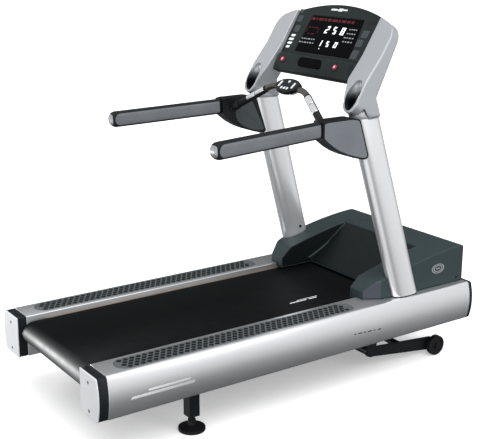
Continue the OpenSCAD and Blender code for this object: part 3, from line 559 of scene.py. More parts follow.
def make_grip_pads():
    """Rubber pads with a raised rim and rows of diamond studs."""
    base = RAIL_TOP + 0.05
    for name, side in SIDES.items():
        bm = bmesh.new()
        rings = []
        for z, inset in ((base - 1.2, 0.4), (base + 0.7, 0.4), (base + 1.3, 0.9), (base + 1.5, 1.8),
                         (base + 1.45, 3.6), (base + 0.9, 4.4), (base + 0.8, 5.4)):
            rings.append(side_of([(PAD_START + x, RAIL_AXIS + y, z)
                                  for x, y in stadium(PAD_LENGTH, PAD_WIDTH, inset)], side))
        loft(bm, rings)
        for row in range(STUD_ROWS):
            for k in range(STUD_COLUMNS):
                x = PAD_START + FIRST_STUD + (k + (row % 2) / 2) * STUD_PITCH
                y = RAIL_AXIS + (row - (STUD_ROWS - 1) / 2) * STUD_ROW_PITCH
                diamond = [(STUD_HALF, 0), (0, STUD_HALF), (-STUD_HALF, 0), (0, -STUD_HALF)]
                rings = [side_of([(x + s * u, y + s * v, z) for u, v in diamond], side)
                         for s, z in ((1.0, base + 0.6), (0.95, base + 2.0), (0.72, base + 2.75))]
                loft(bm, rings, index=1)
        finish_mesh("grip_pad_rubber_" + name, bm, "grip_pad", [MATERIALS["grip_pad"], STUD_RUBBER], 25,
                    node="grip_pad_" + name)


# ---- belt and deck

BELT_TOP, BELT_THICK, BELT_HALF = 372.0, 2.5, 297.0
REAR_AXLE, FRONT_AXLE, AXLE_Z, LOOP_RADIUS = -945.0, 700.0, 320.0, 49.5


def on_belt(depth, x, y):
    """A point on the belt's upper run."""
    return x, y, BELT_TOP + depth


def make_belt():
    """The belt as one closed strip round the rollers, with rounded selvages."""
    outer, inner = LOOP_RADIUS + BELT_THICK, LOOP_RADIUS
    section = [(-BELT_HALF, inner + 0.4), (-BELT_HALF, outer - 0.7), (-BELT_HALF + 0.7, outer),
               (-BELT_HALF + 9, outer), (-BELT_HALF + 9.6, outer - 0.35), (BELT_HALF - 9.6, outer - 0.35),
               (BELT_HALF - 9, outer), (BELT_HALF - 0.7, outer), (BELT_HALF, outer - 0.7),
               (BELT_HALF, inner + 0.4), (BELT_HALF - 0.4, inner), (-BELT_HALF + 0.4, inner)]
    stops = ([(REAR_AXLE, a) for a in [270 - 180 * k / 32 for k in range(33)]]
             + [(REAR_AXLE + (FRONT_AXLE - REAR_AXLE) * k / 12, 90) for k in range(1, 12)]
             + [(FRONT_AXLE, 90 - 180 * k / 32) for k in range(33)]
             + [(FRONT_AXLE + (REAR_AXLE - FRONT_AXLE) * k / 12, -90) for k in range(1, 12)])
    rings = []
    for x, angle in stops:
        c, s = polar(angle)
        rings.append([(x + r * c, y, AXLE_Z + r * s) for y, r in section])
    finish_mesh("belt_loop", loop(bmesh.new(), rings + [rings[0]]), "belt_black", smooth=40,
                node="running_belt")
    bm = bmesh.new()
    for u, v, width, height in ((176, 160, 96, 7), (262, 160, 46, 7), (236, 147, 120, 4)):
        plate(bm, block(u, -v, width, height, 0.8), on_belt, -0.6, 0.15, 0.1)
    finish_mesh("belt_dashes", bm, "belt_black", WHITE_PRINT)
    for node in ("deck_board", "deck_cushions", "cross_members", "roller_axles", "tension_bolts",
                 "rear_roller", "front_roller"):
        node_copy(node)


# ---- uprights

UPRIGHT_FOOT = Vector((610.0, 402.0, 394.0))
UPRIGHT_LEAN, UPRIGHT_TILT = math.radians(16.5), math.radians(2.0)
UPRIGHT_A, UPRIGHT_B, UPRIGHT_LOW, UPRIGHT_TOP = 71.0, 38.5, 394.2, 1250.0
GASKET = ((394.2, 2.2), (396.4, 2.4), (397.6, 1.6), (398.0, -0.4))
SPIGOT = ((1249.8, 0.1), (1250.3, 0.5), (1262, 0.5), (1280, 0.3), (1286, -1.0))
UPRIGHT_TURN = Matrix.Rotation(-UPRIGHT_LEAN, 3, "Y") @ Matrix.Rotation(UPRIGHT_TILT, 3, "X")


def upright_ring(z, grow, steps=96):
    """The upright's outline where a level plane cuts it."""
    axis = UPRIGHT_TURN @ Vector((0, 0, 1))
    points = []
    for x, y in oval(UPRIGHT_A + grow, UPRIGHT_B + grow, 2.4, steps):
        p = UPRIGHT_FOOT + UPRIGHT_TURN @ Vector((x, y, 0))
        p = p + axis * ((z - p.z) / axis.z)
        points.append(tuple(p))
    return points


def make_uprights():
    """Tubes, a gasket at the foot of each, and a spigot that fills the wing above it."""
    tall = [(UPRIGHT_LOW + (UPRIGHT_TOP - UPRIGHT_LOW) * k / 14, 0.0) for k in range(15)]
    for name, side in SIDES.items():
        for piece, sections, slot, mats, smooth, node in (
                ("upright_tube_", tall, "upright_silver", None, 40, "upright_" + name),
                ("upright_gasket_", GASKET, "black_plastic", TRIM_BLACK, SHARP, None),
                ("upright_spigot_", SPIGOT, "wing_silver", None, 40, None)):
            bm = loft(bmesh.new(), [side_of(upright_ring(z, g), side) for z, g in sections])
            finish_mesh(piece + name, bm, slot, mats, smooth, node=node)
    node_copy("upright_screws", width=0.5)


# ---- hood

EMBLEM_X, EMBLEM_Z, EMBLEM_STRETCH, EMBLEM_STROKE = 821, 482, 1.7, 4
RIB = ((566, 260, 404), (640, 260, 436), (711, 260, 475), (765, 260, 517), (806, 260, 549))


def hood_paint(face):
    """Black inside the arms and down the ramp, slate ahead of the uprights."""
    c, n = face.calc_center_median() / MM, face.normal
    ramp = abs(c.y) < 263 and n.x < -0.3 and n.z > 0.2
    if c.x < 812 and (ramp or (263 < abs(c.y) < 265 and abs(n.y) > 0.9)):
        return 1
    if c.x < 474 and abs(c.y) > 340 and abs(n.y) > 0.5 and n.x < -0.3:
        return 2
    return 0


def make_hood():
    """The hood's shell, the ribs beside its ramp, a plain ring mark and a screw on each side."""
    node_copy("motor_hood", "hood_shell", 6.0, 4, [MATERIALS["hood_dark"], RAMP_DARK, PANEL_SLATE], 24, 30,
              hood_paint, limit=False)
    bm = bmesh.new()
    for side in SIDES.values():
        tube(bm, bent(side_of(RIB, side), 12, 5), 6.0, 20)
    finish_mesh("hood_ribs", bm, "hood_dark", smooth=60)
    for name, side in SIDES.items():
        def place(depth, x, z):
            return x, side * (412 + depth), z
        bm = bmesh.new()
        for radius in (24, 17):
            rims = [[(EMBLEM_X + u * share * EMBLEM_STRETCH, EMBLEM_Z + v * share)
                     for u, v in dot(0, 0, radius, 40)] for share in (1, (radius - EMBLEM_STROKE) / radius)]
            loop(bm, [[place(d, *p) for p, d in ((a, -0.5), (a, 0.5), (b, 0.5), (b, -0.5))]
                      for a, b in zip(*[rim + rim[:1] for rim in rims])])
        plate(bm, rounded_outline(block(EMBLEM_X, EMBLEM_Z, 26, 6, -0.4), 2), place, -0.5, 0.5, 0.2)
        finish_mesh("hood_emblem_" + name, bm, "hood_dark", DIM_WHITE, 25)
        bm = bmesh.new()
        plate(bm, dot(947, 416, 7), place, -1.0, 1.6, 1.0)
        finish_mesh("hood_screw_" + name, bm, "hood_dark", TRIM_BLACK, 25)


# ---- console

CONSOLE_X, CONSOLE_Z, CONSOLE_LEAN = 343.0, 1393.0, math.radians(30.8)
ARCH_RADIUS, CONSOLE_HEIGHT, CONSOLE_HALF = 970.0, 366.0, 295.0
ARCH_CENTRE = CONSOLE_HEIGHT - ARCH_RADIUS


def on_console(depth, y, v):
    """A point of the console's frame: depth into it, y across, v up its face."""
    return (CONSOLE_X + depth * math.cos(CONSOLE_LEAN) + v * math.sin(CONSOLE_LEAN), y,
            CONSOLE_Z - depth * math.sin(CONSOLE_LEAN) + v * math.cos(CONSOLE_LEAN))


def console_outline(inset, base=0.0):
    """The console's outline: arched top, rounded lower corners."""
    h, r = CONSOLE_HALF - inset, 20.0
    angle = math.degrees(math.acos(h / (ARCH_RADIUS - inset)))
    return (arc((0, ARCH_CENTRE), ARCH_RADIUS - inset, angle, 180 - angle, 36)
            + arc((-h + r, base + inset + r), r, 180, 270, 6)
            + arc((h - r, base + inset + r), r, 270, 360, 6))


def window_outline(inset, r=7.0):
    """The display's outline, a little wider below."""
    b, t, low, high = 202.0 - inset, 185.0 - inset, 112.0 + inset, 301.0 - inset
    return (arc((b - r, low + r), r, -90, 0, 4) + arc((t - r, high - r), r, 0, 90, 4)
            + arc((-t + r, high - r), r, 90, 180, 4) + arc((-b + r, low + r), r, 180, 270, 4))


LEDGE_BACK = 5.7
LEDGE = ((LEDGE_BACK, 3), (0, 3), (-14, 36), (-22, 78), (-19, 84), (-2, 96), (LEDGE_BACK, 96))
KEY_V, STOP_Y, START_Y = 52.0, -166, 222
PILL_Y, PILL_HALF, PILL_RADIUS = 18, 65, 22.2
LEDGE_HALF, LEDGE_ROUND = 293, 46
FIGURE_LEAN = -0.14
FIGURE_BARS = {"0": "abcdef", "1": "bc", "2": "abged", "5": "afgcd", "8": "abcdefg"}


def figure(value, y, v, width, height, stroke):
    """The lit bars of one figure, leaning a little; y grows to the viewer's left."""
    half, reach = (width - stroke) / 2, (height - stroke) / 2
    places = {"a": (0, 1), "g": (0, 0), "d": (0, -1), "b": (-1, 0.5), "c": (-1, -0.5), "e": (1, -0.5),
              "f": (1, 0.5)}
    shapes = []
    for bar in FIGURE_BARS[value]:
        across, up = places[bar]
        size = (stroke, reach + stroke / 2 - 0.7) if across else (width - 2 * stroke + 1.5, stroke * 0.8)
        rise = up * (reach if across == 0 else reach + stroke / 2)
        shapes.append(block(y + across * half + FIGURE_LEAN * rise, v + rise, *size, lean=FIGURE_LEAN))
    return shapes


def dashes(y_start, y_end, v, height, widths, space=3.0):
    """A row of short bars between two places."""
    step = (y_start - y_end + space) / (sum(widths) + space * len(widths))
    shapes, y = [], y_start
    for width in widths:
        shapes.append(block(y - width * step / 2, v, width * step, height, -0.1))
        y -= (width + space) * step
    return shapes


def on_ledge(depth, y, v):
    """A point on the sloping face of the lower panel."""
    return on_console(depth - 14 - 8 * (v - 36) / 42, y, v)


def printed(name, shapes, hidden, face, mats, slot="console_dark", place=on_console, edge=0.25,
            body="base"):
    """Thin raised shapes on a face, as one piece."""
    bm = bmesh.new()
    for outline in shapes:
        plate(bm, outline, place, hidden, face, edge)
    return finish_mesh(name, bm, slot, mats, 25, body)


def make_fascia():
    """The console's face with its window, its rear cover, the display's glass and a black strip of painted
    shadow.
    """
    rim = [(10 - 4 * s, 4 - 4 * c) for c, s in [polar(18 * k) for k in range(6)]]
    levels = [(28.0, 0.0)] + rim + [(6.0, 11.0)]
    bm = loft(bmesh.new(), stepped(console_outline, levels, on_console), index=1)
    bm.faces.ensure_lookup_table()
    bm.faces[-1].material_index = 0
    face = finish_mesh("console_fascia", bm, "console_dark", [MATERIALS["console_dark"], TRIM_BLACK],
                       node="console_face")
    opening = ((4.0, -5.0), (12.0, 1.0), (30.0, 1.0))
    carve(face, loft(bmesh.new(), stepped(window_outline, opening, on_console)))
    soften(face, 1.0, 3, 40)
    back = finish_mesh("console_rear_cover", prism(console_outline(6, 28), (28.3, 74.0), on_console),
                       "black_plastic", node="console_back")
    soften(back, 9.0, 4, 40)
    glass = finish_mesh("display_glass", prism(window_outline(1.4, 6), (9.0, 11.8), on_console),
                        "display_black", node="display_window")
    soften(glass, 0.4, 2, 40)
    # A raised black strip painted as the shadow in the gap between the display and the ledge's top
    printed("console_painted_shadow_strip", [rounded_outline(block(4, 101, 572, 10), 4)], 7.0, 5.6, TRIM_BLACK, edge=0.8)


def make_display():
    """Invented figures, a dim red row and profile, and small pale bars where captions would be."""
    big = [b for value, y in zip("258", (36, -18, -75)) for b in figure(value, y, 236.5, 26, 38, 8.0)]
    small = [b for value, y in zip("150", (43, -10, -67)) for b in figure(value, y, 166.5, 21, 29, 6.5)]
    printed("display_figures", big + small + [dot(35, 139, 2.6)], 9.6, 8.7, DIGIT_WHITE, "display_black")
    red = dashes(186, -125, 285, 13, (26, 9, 30, 14, 22, 34, 12, 26, 20, 16), 7)
    red += dashes(176, 104, 241, 4, (10, 8, 12), 5) + dashes(166, 112, 207, 4, (9, 14), 6)
    red += [block(181, 225, 4, 24, -0.3), block(100, 225, 4, 24, 0.3)]
    printed("display_red_marks", red, 9.5, 8.8, DIM_RED, "display_black")
    pale = dashes(192, 94, 180, 6, (9, 12, 7, 14, 8, 10), 5)
    pale += dashes(202, 91, 161, 6, (12, 8, 14, 9, 11, 7), 5)
    for v, start, end in ((250, -112, -166), (229, -108, -165), (208, -100, -168), (188, -103, -168)):
        pale += dashes(start, end, v, 6, (10, 7, 12, 8), 5)
    printed("display_small_marks", pale, 9.5, 8.8, DIM_WHITE, "display_black")


def make_fascia_keys():
    """Plain keys either side of the display, and a plain bar emblem above it."""
    grey = [rounded_outline(block(y, v, w, h, -0.06), 7) for y, v, w, h in (
        (266, 277, 40, 36), (253, 224, 40, 36), (278, 316, 30, 20), (-234, 234, 44, 38), (-223, 188, 42, 36),
        (-225, 132, 46, 44))]
    printed("fascia_keys", grey, 7.0, 4.9, SLATE_KEY, edge=0.8)
    white = [rounded_outline(block(y, v, w, 12, -0.3), 4)
             for y, v, w in ((258, 187, 30), (261, 167, 34), (260, 147, 32), (262, 127, 26))]
    printed("fascia_white_keys", white, 7.0, 4.8, WHITE_PRINT, edge=0.7)
    black = [rounded_outline(block(-242, 293, 54, 22), 6), rounded_outline(block(-232, 258, 52, 9), 4)]
    printed("fascia_dark_keys", black, 7.0, 5.0, TRIM_BLACK, edge=0.8)
    emblem = [rounded_outline(block(y, v, w, h, -0.5), 3)
              for y, v, w, h in ((46, 338, 48, 9), (2, 339, 30, 15), (-30, 340, 30, 8))]
    printed("fascia_emblem", emblem, 6.8, 5.4, DIGIT_SILVER, edge=0.4)


def make_ledge():
    """The lower panel that swells towards the runner, with its recess and two round keys."""
    rings = []
    stops = [(1 - polar(a)[0]) * LEDGE_ROUND for a in range(0, 91, 9)]
    for y in [-LEDGE_HALF + t for t in stops] + [LEDGE_HALF - t for t in reversed(stops)]:
        near = max(0.0, 1 - (LEDGE_HALF - abs(y)) / LEDGE_ROUND)
        push = 1 - 0.72 * near ** 2.2
        top = 1 - 0.13 * near ** 2
        rings.append([on_console(LEDGE_BACK + (d - LEDGE_BACK) * push, y, v * top)
                      for d, v in rounded_outline(LEDGE, 7, 4)])
    ledge = finish_mesh("console_ledge", loft(bmesh.new(), rings), "console_dark", smooth=40,
                        node="lower_panel")
    holes, collars = bmesh.new(), bmesh.new()
    for y in (STOP_Y, START_Y):
        prism(dot(y, KEY_V, 12.6, 48), (-60, 30), on_console, holes)
        collar(collars, on_ledge, y, KEY_V, 13.6, 19.5, 0.8, -1.0)
    pill = (arc((PILL_Y + PILL_HALF, KEY_V), PILL_RADIUS, -90, 90, 14)
            + arc((PILL_Y - PILL_HALF, KEY_V), PILL_RADIUS, 90, 270, 14))
    prism(pill, (-60, -9), on_console, holes)
    carve(ledge, holes)
    soften(ledge, 1.2, 3, 40)
    finish_mesh("key_collars", collars, "console_dark", TRIM_BLACK, 25)
    node_copy("receiver_window", width=1.4, segments=3)
    for node, y in (("stop_key", STOP_Y), ("start_key", START_Y)):
        node_copy(node)
        printed(node + "_mark", [dot(y, KEY_V, 5.2)], -21.9, -23.0, PALE_PINK, "key_red", body=BODY_OF[node])


def make_console():
    make_fascia()
    make_display()
    make_fascia_keys()
    make_ledge()
    node_copy("display_board", width=0.6)


# ---- wings, handrails, bar

CUP_CENTRE, CUP_LEAN = Vector((290.2, 372.0, 1354.9)), math.atan2(51, 106)
CUP_RADII = Vector((34.0, 38.0, 70.0))
BORE_SHIFT, BORE_RADII = Vector((-28, 8, 0)), Vector((37.5, 37.5, 9000.0))
# Painted shade in the cup and bore: heights of the fade, the stub's floor, and the masks' edge and core
SHADE_FADE_TOP, SHADE_FADE_LOW, STUB_LOW = 1.405, 1.325, 1.2515
SHADE_MASK_EDGE, SHADE_MASK_CORE = 1.07, 1.02


def keep_shell(bm):
    """Removes all but the largest connected part of a mesh."""
    parts, seen = [], set()
    for start in bm.verts:
        if start in seen:
            continue
        part, edge = {start}, [start]
        while edge:
            for link in edge.pop().link_edges:
                for v in link.verts:
                    if v not in part:
                        part.add(v)
                        edge.append(v)
        seen |= part
        parts.append(part)
    parts.sort(key=lambda part: max(v.co.z for v in part) - min(v.co.z for v in part))
    for part in parts[:-1]:
        bmesh.ops.delete(bm, geom=list(part), context="VERTS")


def painted_well_shade(name, side):
    """The wing's silver with painted shade: it fades to black down inside the cup and the upright's bore."""
    mat = MATERIALS["wing_silver"].copy()
    mat.name = name
    tree = mat.node_tree
    shader = next(n for n in tree.nodes if n.type == "BSDF_PRINCIPLED")
    place = next(n for n in tree.nodes if n.type == "TEX_COORD").outputs["Object"]
    masks = {}
    for k, (centre, turn, radii) in enumerate((
            (CUP_CENTRE, (0, CUP_LEAN, 0), CUP_RADII),
            (UPRIGHT_FOOT + UPRIGHT_TURN @ BORE_SHIFT, UPRIGHT_TURN.to_euler(), BORE_RADII))):
        local = shader_node(tree, "Mapping", {
            "Vector": place, "Location": Vector((centre.x, side * centre.y, centre.z)) * MM,
            "Rotation": (side * turn[0], turn[1], side * turn[2]), "Scale": radii * MM},
            "Vector", vector_type="TEXTURE")
        reach = shader_node(tree, "VectorMath", {0: local}, "Value", operation="LENGTH")
        masks[k] = shader_node(tree, "MapRange", {
            "Value": reach, "From Min": SHADE_MASK_EDGE, "From Max": SHADE_MASK_CORE}, "Result")
    either = shader_node(tree, "Math", masks, "Value", operation="MAXIMUM")
    height = shader_node(tree, "SeparateXYZ", {"Vector": place}, "Z")
    fall = shader_node(tree, "MapRange", {
        "Value": height, "From Min": SHADE_FADE_TOP, "From Max": SHADE_FADE_LOW}, "Result",
        interpolation_type="SMOOTHSTEP")
    floor = shader_node(tree, "MapRange", {
        "Value": height, "From Min": STUB_LOW, "From Max": STUB_LOW + 0.002}, "Result")
    above = shader_node(tree, "Math", {0: either, 1: floor}, "Value", operation="MULTIPLY")
    depth = shader_node(tree, "Math", {0: above, 1: fall}, "Value", operation="MULTIPLY")
    # Painted shade: near-black mixed into the silver where the cup or bore mask meets the height fade
    painted_shade = shader_node(tree, "Mix", {
        "Factor": depth, "B": (0.004, 0.005, 0.006, 1),
        "A": shader.inputs["Base Color"].links[0].from_socket}, "Result", data_type="RGBA")
    tree.links.new(painted_shade, shader.inputs["Base Color"])
    return mat


WING_EDGE, WING_SIDE, WING_INNER = 417, 367, 150
CORNER_START, CORNER_REACH, WING_ARCH = 217, 55.0, 971


def make_wings():
    """Each wing as one flowing shell, with a scooped cup at its foot whose depths carry painted shade."""
    top = ARCH_CENTRE + WING_ARCH * math.cos(math.asin(WING_SIDE / WING_ARCH)) - CORNER_START
    corner = [(WING_EDGE - (WING_EDGE - WING_SIDE) * t * t,
               CORNER_START + CORNER_REACH * 2 * t * (1 - t) + top * t * t)
              for t in [k / 10 for k in range(11)]]
    arch = arc((0, ARCH_CENTRE), WING_ARCH, math.degrees(math.acos((WING_SIDE - 5) / WING_ARCH)),
               math.degrees(math.acos(WING_INNER / WING_ARCH)), 12)
    outline = [(WING_INNER, -400), (WING_EDGE, -400)] + corner + arch
    for name, side in SIDES.items():
        wing = node_copy("console_wing_" + name, "wing_" + name, width=0,
                         mats=painted_well_shade("wing_cup_painted_shade_" + name, side))
        bm = bmesh.new()
        bm.from_mesh(wing.data)
        keep_shell(bm)
        bm.to_mesh(wing.data)
        bm.free()
        carve(wing, prism([(y * side, v) for y, v in outline], (-300, 300), on_console), "INTERSECT")
        bm = bmesh.new()
        bmesh.ops.create_uvsphere(bm, u_segments=64, v_segments=40, radius=1)
        bm.transform(Matrix.Translation(Vector((CUP_CENTRE.x, side * CUP_CENTRE.y, CUP_CENTRE.z)) * MM)
                     @ Matrix.Rotation(CUP_LEAN, 4, "Y") @ Matrix.Diagonal((*(CUP_RADII * MM), 1)))
        carve(wing, bm)
        organic(wing, 3.0, 10)


RAIL_FRONT, RAIL_REAR = Vector((92.0, 383.0, 1221.0)), Vector((-456.0, 430.0, 1203.0))
RAIL_RUN = (RAIL_FRONT - RAIL_REAR).length
RAIL_TURN = (Matrix.Rotation(math.atan2(RAIL_FRONT.y - RAIL_REAR.y, RAIL_FRONT.x - RAIL_REAR.x), 3, "Z")
             @ Matrix.Rotation(-math.asin((RAIL_FRONT.z - RAIL_REAR.z) / RAIL_RUN), 3, "Y"))


def on_rail(x, y, z):
    """A point of the left handrail's frame: X along it from its rear end."""
    return tuple(RAIL_REAR + RAIL_TURN @ Vector((x, y, z)))


HANDRAIL_Y, HANDRAIL_Z, HANDRAIL_POWER = 24.0, 36.0, 3.4
BRACKET_OUTSIDE = (
    (102.5, 1251.5), (120.5, 1254.5), (249.5, 1255.5), (280, 1251), (294, 1244.5), (342.5, 1094), (341, 1086),
    (334, 1081.5), (319, 1081.5), (274, 1093.3), (234.6, 1106.2), (187.5, 1126.8), (150.4, 1149.2),
    (122.9, 1170.8), (102.5, 1187.7))
BRACKET_INSIDE = (
    (165, 1240), (262, 1244), (335, 1100), (335, 1088), (300, 1086), (240, 1104), (196, 1126), (170, 1160))
BAR_BEND, BAR_END = Vector((223, 118, 1345)), Vector((156, 346, 1216))
POD_CENTRE, POD_TURN = Vector((222, 0, 1350)), Matrix.Rotation(math.radians(-40), 3, "Y")


def handrail_section():
    """The rounded section of a handrail, in its Y and Z."""
    return oval(HANDRAIL_Y, HANDRAIL_Z, HANDRAIL_POWER, 96)


def handrail_ring(t):
    """The section of a handrail's rounded end, t degrees from its very tip."""
    c, s = polar(t)
    return [on_rail(-14 + 30 * (1 - c), y * (1 - c ** 5) ** 0.2, z * s) for y, z in handrail_section()]


INLAY_HALF, INLAY_START = 27, 6


def make_handrail_pieces():
    """Handrail bodies with a grey inlay on both faces, and silver tips."""
    for name, side in SIDES.items():
        rings = [side_of(handrail_ring(t), side) for t in (45, 45.5, 50, 56, 62, 68, 74, 80, 85, 89.9)]
        rings += [side_of([on_rail(x, y, z) for y, z in handrail_section()], side)
                  for x in [60 + (RAIL_RUN - 60.2) * k / 6 for k in range(7)]]
        finish_mesh("handrail_body_" + name, loft(bmesh.new(), rings), "grip_black", smooth=40,
                    node="handrail_" + name)
        bm = bmesh.new()
        for face in (-1, 1):
            rings = []
            for a in [-86 + 172 * k / 20 for k in range(21)]:
                c, z = polar(a, INLAY_HALF)
                start, end = INLAY_START + INLAY_HALF - c, RAIL_RUN - INLAY_START
                skin = HANDRAIL_Y * (1 - (abs(z) / HANDRAIL_Z) ** HANDRAIL_POWER) ** (1 / HANDRAIL_POWER)
                lift = 1.5 * min(1.0, (86.5 - abs(a)) / 12)
                low = lift - 0.6 * min(1, lift)
                rings.append(side_of([on_rail(x, face * (skin + d), z) for x, d in (
                    (start, -1.0), (start, low), (start + 0.6, lift), (start + 3, lift), (end - 3, lift),
                    (end - 0.6, lift), (end, low), (end, -1.0))], side))
            loft(bm, rings)
        finish_mesh("handrail_inlay_" + name, bm, "handrail_grey", smooth=40)
    bm = bmesh.new()
    for side in SIDES.values():
        loft(bm, [side_of(handrail_ring(t), side) for t in (8, 12, 17, 23, 29, 35, 40, 42, 43.5, 44)])
    finish_mesh("handrail_end_caps", bm, "tip_silver", smooth=50, node="handrail_tips")


def make_brackets():
    """Brackets with a grey cover outside and, inside, a lining whose darker grey is painted shade."""
    outside = rounded_outline(BRACKET_OUTSIDE[::-1], 9, 4)
    inside = rounded_outline(BRACKET_INSIDE[::-1], 22, 5)
    for name, side in SIDES.items():
        def place(depth, x, z):
            return x, side * depth, z
        node_copy("handrail_bracket_" + name, "bracket_" + name, 7.0, 4, TRIM_BLACK, smooth=30)
        for piece, outline, hidden, face, edge, mats in (
                ("bracket_cover_", outside, 413.5, 417.4, 2.0, None),
                ("bracket_shaded_lining_", inside, 348.5, 344.6, 1.6, LINING_PAINTED_SHADE)):
            bm = plate(bmesh.new(), outline, place, hidden, face, edge)
            finish_mesh(piece + name, bm, "bracket_grey", mats, 50)


SLEEVE = ((0.155, 13.4), (0.155, 16.0), (0.162, 17.0), (0.838, 17.0), (0.845, 16.0), (0.845, 13.4))
SLEEVE_END = ((0.848, 13.4), (0.850, 17.4), (0.858, 18.4), (0.93, 19.2), (0.988, 20.0), (0.994, 19.0),
              (0.994, 13.4))
PULSE_SPANS = ((0.195, 0.398), (0.410, 0.613))


def make_bar():
    """The bent cross bar with its grips and hand-pulse plates."""
    ends = [BAR_BEND + (BAR_END - BAR_BEND) * 1.03, BAR_BEND]
    corners = [(p.x, -p.y, p.z) for p in ends] + [tuple(p) for p in reversed(ends)]
    bar = tube(bmesh.new(), bent(corners, 40, 12), 14.0, 40)
    finish_mesh("cross_bar_tube", bar, "bar_silver", BAR_BRONZE, 50, node="cross_bar")
    grips, plates = bmesh.new(), bmesh.new()
    place = spin(BAR_BEND, BAR_END, (-0.75, 0, 0.66))
    for side in SIDES.values():
        for spans in (SLEEVE, SLEEVE_END):
            loft(grips, [side_of([place(share, r, 9 * k) for k in range(40)], side) for share, r in spans])
        for low, high in PULSE_SPANS:
            rings = []
            for share, sink in ((low, 1.2), (low + 0.004, 0.3), (low + 0.01, 0.0), (high - 0.01, 0.0),
                                (high - 0.004, 0.3), (high, 1.2)):
                fall = 56 - sink * 2
                outer = [place(share, 18.6 - sink, -fall + 2 * fall * k / 24) for k in range(25)]
                inner = [place(share, 16.6, fall - 2 * fall * k / 24) for k in range(25)]
                rings.append(side_of(outer + inner, side))
            loft(plates, rings)
    finish_mesh("bar_grip_sleeves", grips, "grip_black", smooth=40, node="bar_grips")
    finish_mesh("pulse_plates", plates, "sensor_steel", smooth=40, node="pulse_sensors")


def on_pod(depth, x, y):
    """A point of the pod's frame: depth towards the viewer, x away from the runner, y to the left."""
    return tuple(POD_CENTRE + POD_TURN @ Vector((x, y, depth)))


POD_RIM = ((-14, 9), (-13.6, 6), (-12.6, 3), (-10.8, 1), (-8.8, 0.2), (-6.6, 0), (-5.9, 0.5), (-5.6, 1.4),
           (-5.5, 3))
POD_SHELL = ((-5.4, 3), (-5.3, 1.0), (-4.6, 0.4), (6, 0.2), (9.6, 1.0), (12.0, 2.8), (13.4, 5.6), (13.9, 9.0),
             (14.0, 12.0), (14.0, 13.0))


def pod_outline(inset):
    """The pod's outline, moved inward by inset."""
    return oval(42 - inset, 85 - inset, 2.1, 96)


def make_pod():
    """The oval key pod: a bright rim below, a black shell, and its marks and keys."""
    rim, shell = [loft(bmesh.new(), stepped(pod_outline, levels, on_pod)) for levels in (POD_RIM, POD_SHELL)]
    finish_mesh("pod_rim", rim, "pod_black", MATERIALS["bar_silver"], 50)
    shell = finish_mesh("pod_shell", shell, "pod_black", smooth=50, node="pod_housing")
    pockets = bmesh.new()
    for y in (-48, 48):
        prism(block(0, y, 34.8, 11.8), (10, 20), on_pod, pockets)
    carve(shell, pockets)
    marks = [dot(20, 0, 7.0)] + [rounded_outline(block(-20, y, 14, 12), 4) for y in (-21, 0, 21)]
    printed("pod_marks", marks, 13.2, 14.6, WHITE_PRINT, "pod_black", on_pod, 0.4)
    for node in ("pod_speed_key", "pod_incline_key"):
        node_copy(node, width=1.4, segments=3)


# ---- machinery and feet


def make_machinery():
    """The parts inside the hood and below the deck, from their CAD nodes."""
    for node in ("drive_motor", "motor_rotor", "drive_belt", "motor_mount", "controller_box", "power_inlet",
                 "power_switch", "belly_pan"):
        node_copy(node)
    for node, width in (("lift_frame", 1.6), ("lift_brackets", 1.6), ("lift_wheel_right", 2.0),
                        ("lift_wheel_left", 2.0), ("lift_motor", 1.2), ("lift_screw_tube", 0.8),
                        ("foot_legs", 1.6), ("levelling_foot_right", 1.6), ("levelling_foot_left", 1.6)):
        node_copy(node, width=width, segments=3)


# ---- floor and light

FLOOR_HALF = 60.0
SKY = ((0.0, 0.06), (0.15, 0.07), (0.23, 0.14), (0.31, 0.38), (0.38, 0.80), (0.47, 1.0), (0.62, 1.0),
       (1.0, 0.95))
# Cards and flags round the object: direction, cosine at the edge, cosine at the core, brightness there
CARDS = (((0.55, 0.79, 0.26), 0.78, 0.97, 0.06),
         ((0.0, -0.93, -0.36), 0.955, 0.992, 0.38),
         ((-0.66, -0.40, -0.63), 0.70, 0.94, 5.0),
         ((0.92, 0.25, -0.12), 0.75, 0.96, 0.40),
         ((-0.30, 0.80, -0.50), 0.75, 0.96, 1.6))
BACKDROP = (0.98, 0.98, 0.985, 1)


def make_world():
    """A studio that is dim towards the floor and brighter on the near side, before a plain pale backdrop."""
    world = bpy.data.worlds.new("studio")
    scene.world = world
    world.use_nodes = True
    tree = world.node_tree
    place = shader_node(tree, "TexCoord", {}, "Generated")
    height = shader_node(tree, "SeparateXYZ", {"Vector": place}, "Z")
    spread = shader_node(tree, "MapRange", {"Value": height, "From Min": -1.0}, "Result")
    shade = shader_node(tree, "ValToRGB", {"Fac": spread})
    elements = shade.color_ramp.elements
    while len(elements) < len(SKY):
        elements.new(0.5)
    for element, (position, grey) in zip(elements, SKY):
        element.position = position
        element.color = (grey, grey, grey, 1)
    light = shade.outputs["Color"]
    for way, edge, core, level in CARDS:
        towards = shader_node(tree, "VectorMath", {0: place, 1: way}, "Value", operation="DOT_PRODUCT")
        card = shader_node(tree, "MapRange", {
            "Value": towards, "From Min": edge, "From Max": core, "To Min": 1.0, "To Max": level},
            "Result", interpolation_type="SMOOTHSTEP")
        light = shader_node(tree, "VectorMath", {"Vector": light, "Scale": card}, "Vector",
                            operation="SCALE")
    seen = shader_node(tree, "LightPath", {}, "Is Camera Ray")
    choice = shader_node(tree, "Mix", {"Factor": seen, "A": light, "B": BACKDROP}, "Result",
                         data_type="RGBA")
    tree.links.new(choice, tree.nodes["Background"].inputs["Color"])


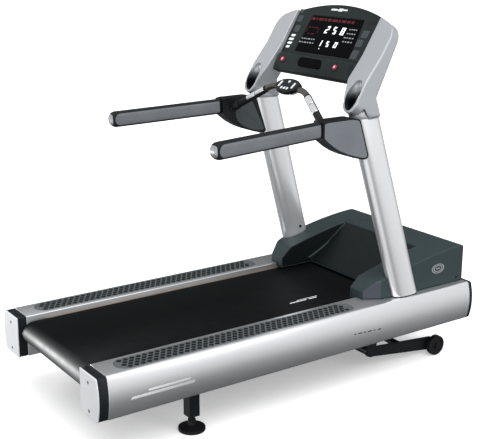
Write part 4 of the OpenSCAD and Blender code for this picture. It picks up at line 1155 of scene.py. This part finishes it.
def lamp_object(name, data, place, aim):
    """Puts a lamp in the scene, turned towards its aim."""
    lamp = bpy.data.objects.new(name, data)
    scene.collection.objects.link(lamp)
    lamp.location = place
    lamp.rotation_euler = (Vector(aim) - Vector(place)).to_track_quat("-Z", "Y").to_euler()
    return lamp


def softbox(name, place, aim, size, power, size_y=None, only=()):
    """A rectangular lamp, which may light only the named pieces."""
    data = bpy.data.lights.new(name, "AREA")
    data.energy = power
    data.shape = "RECTANGLE"
    data.size = size
    data.size_y = size_y or size
    lamp = lamp_object(name, data, place, aim)
    lamp.visible_camera = False
    if only:
        lit = bpy.data.collections.new(name + "_lit")
        for piece in only:
            lit.objects.link(bpy.data.objects[piece])
        lamp.light_linking.receiver_collection = lit


def make_stage():
    """The floor, the world and five lamps."""
    paper = material("floor_paper", (0.93, 0.93, 0.935), 0.7, vary=0.006, cloud=0.8, grain=0.02,
                     grain_scale=60, emission=0.30)
    bm = bmesh.new()
    bmesh.ops.create_grid(bm, x_segments=2, y_segments=2, size=FLOOR_HALF)
    floor = finish_mesh("floor", bm, mats=paper)
    floor.visible_glossy = False
    floor.visible_diffuse = False
    make_world()
    sun = bpy.data.lights.new("overhead", "SUN")
    sun.energy = 2.0
    sun.angle = math.radians(50)
    lamp_object("overhead", sun, (-0.5, -1.1, 2.2), (0, 0, 0))
    softbox("side_light", (0.9, -3.4, 1.7), (0.1, 0, 0.7), 1.6, 26)
    softbox("rear_light", (-3.0, 2.6, 0.24), (-1.0, 0, 0.32), 1.6, 34, 0.20)
    softbox("belt_light", (-3.0, 2.2, 0.18), (-1.0, 0, 0.32), 1.8, 850, 0.32, only=["belt_loop"])
    softbox("wing_light", (-0.6, -2.6, 1.0), (0.45, 0.4, 1.2), 1.2, 34,
            only=["wing_left", "upright_tube_left"])
    scene.view_settings.view_transform = "Standard"


make_rails()
make_grip_pads()
make_belt()
make_uprights()
make_hood()
make_console()
make_wings()
make_handrail_pieces()
make_brackets()
make_bar()
make_pod()
make_machinery()
make_stage()

for node, obj in NODES.items():
    obj.data.materials.clear()
    obj.data.materials.append(MATERIALS[SLOT_OF[node]])

bpy.context.view_layer.update()
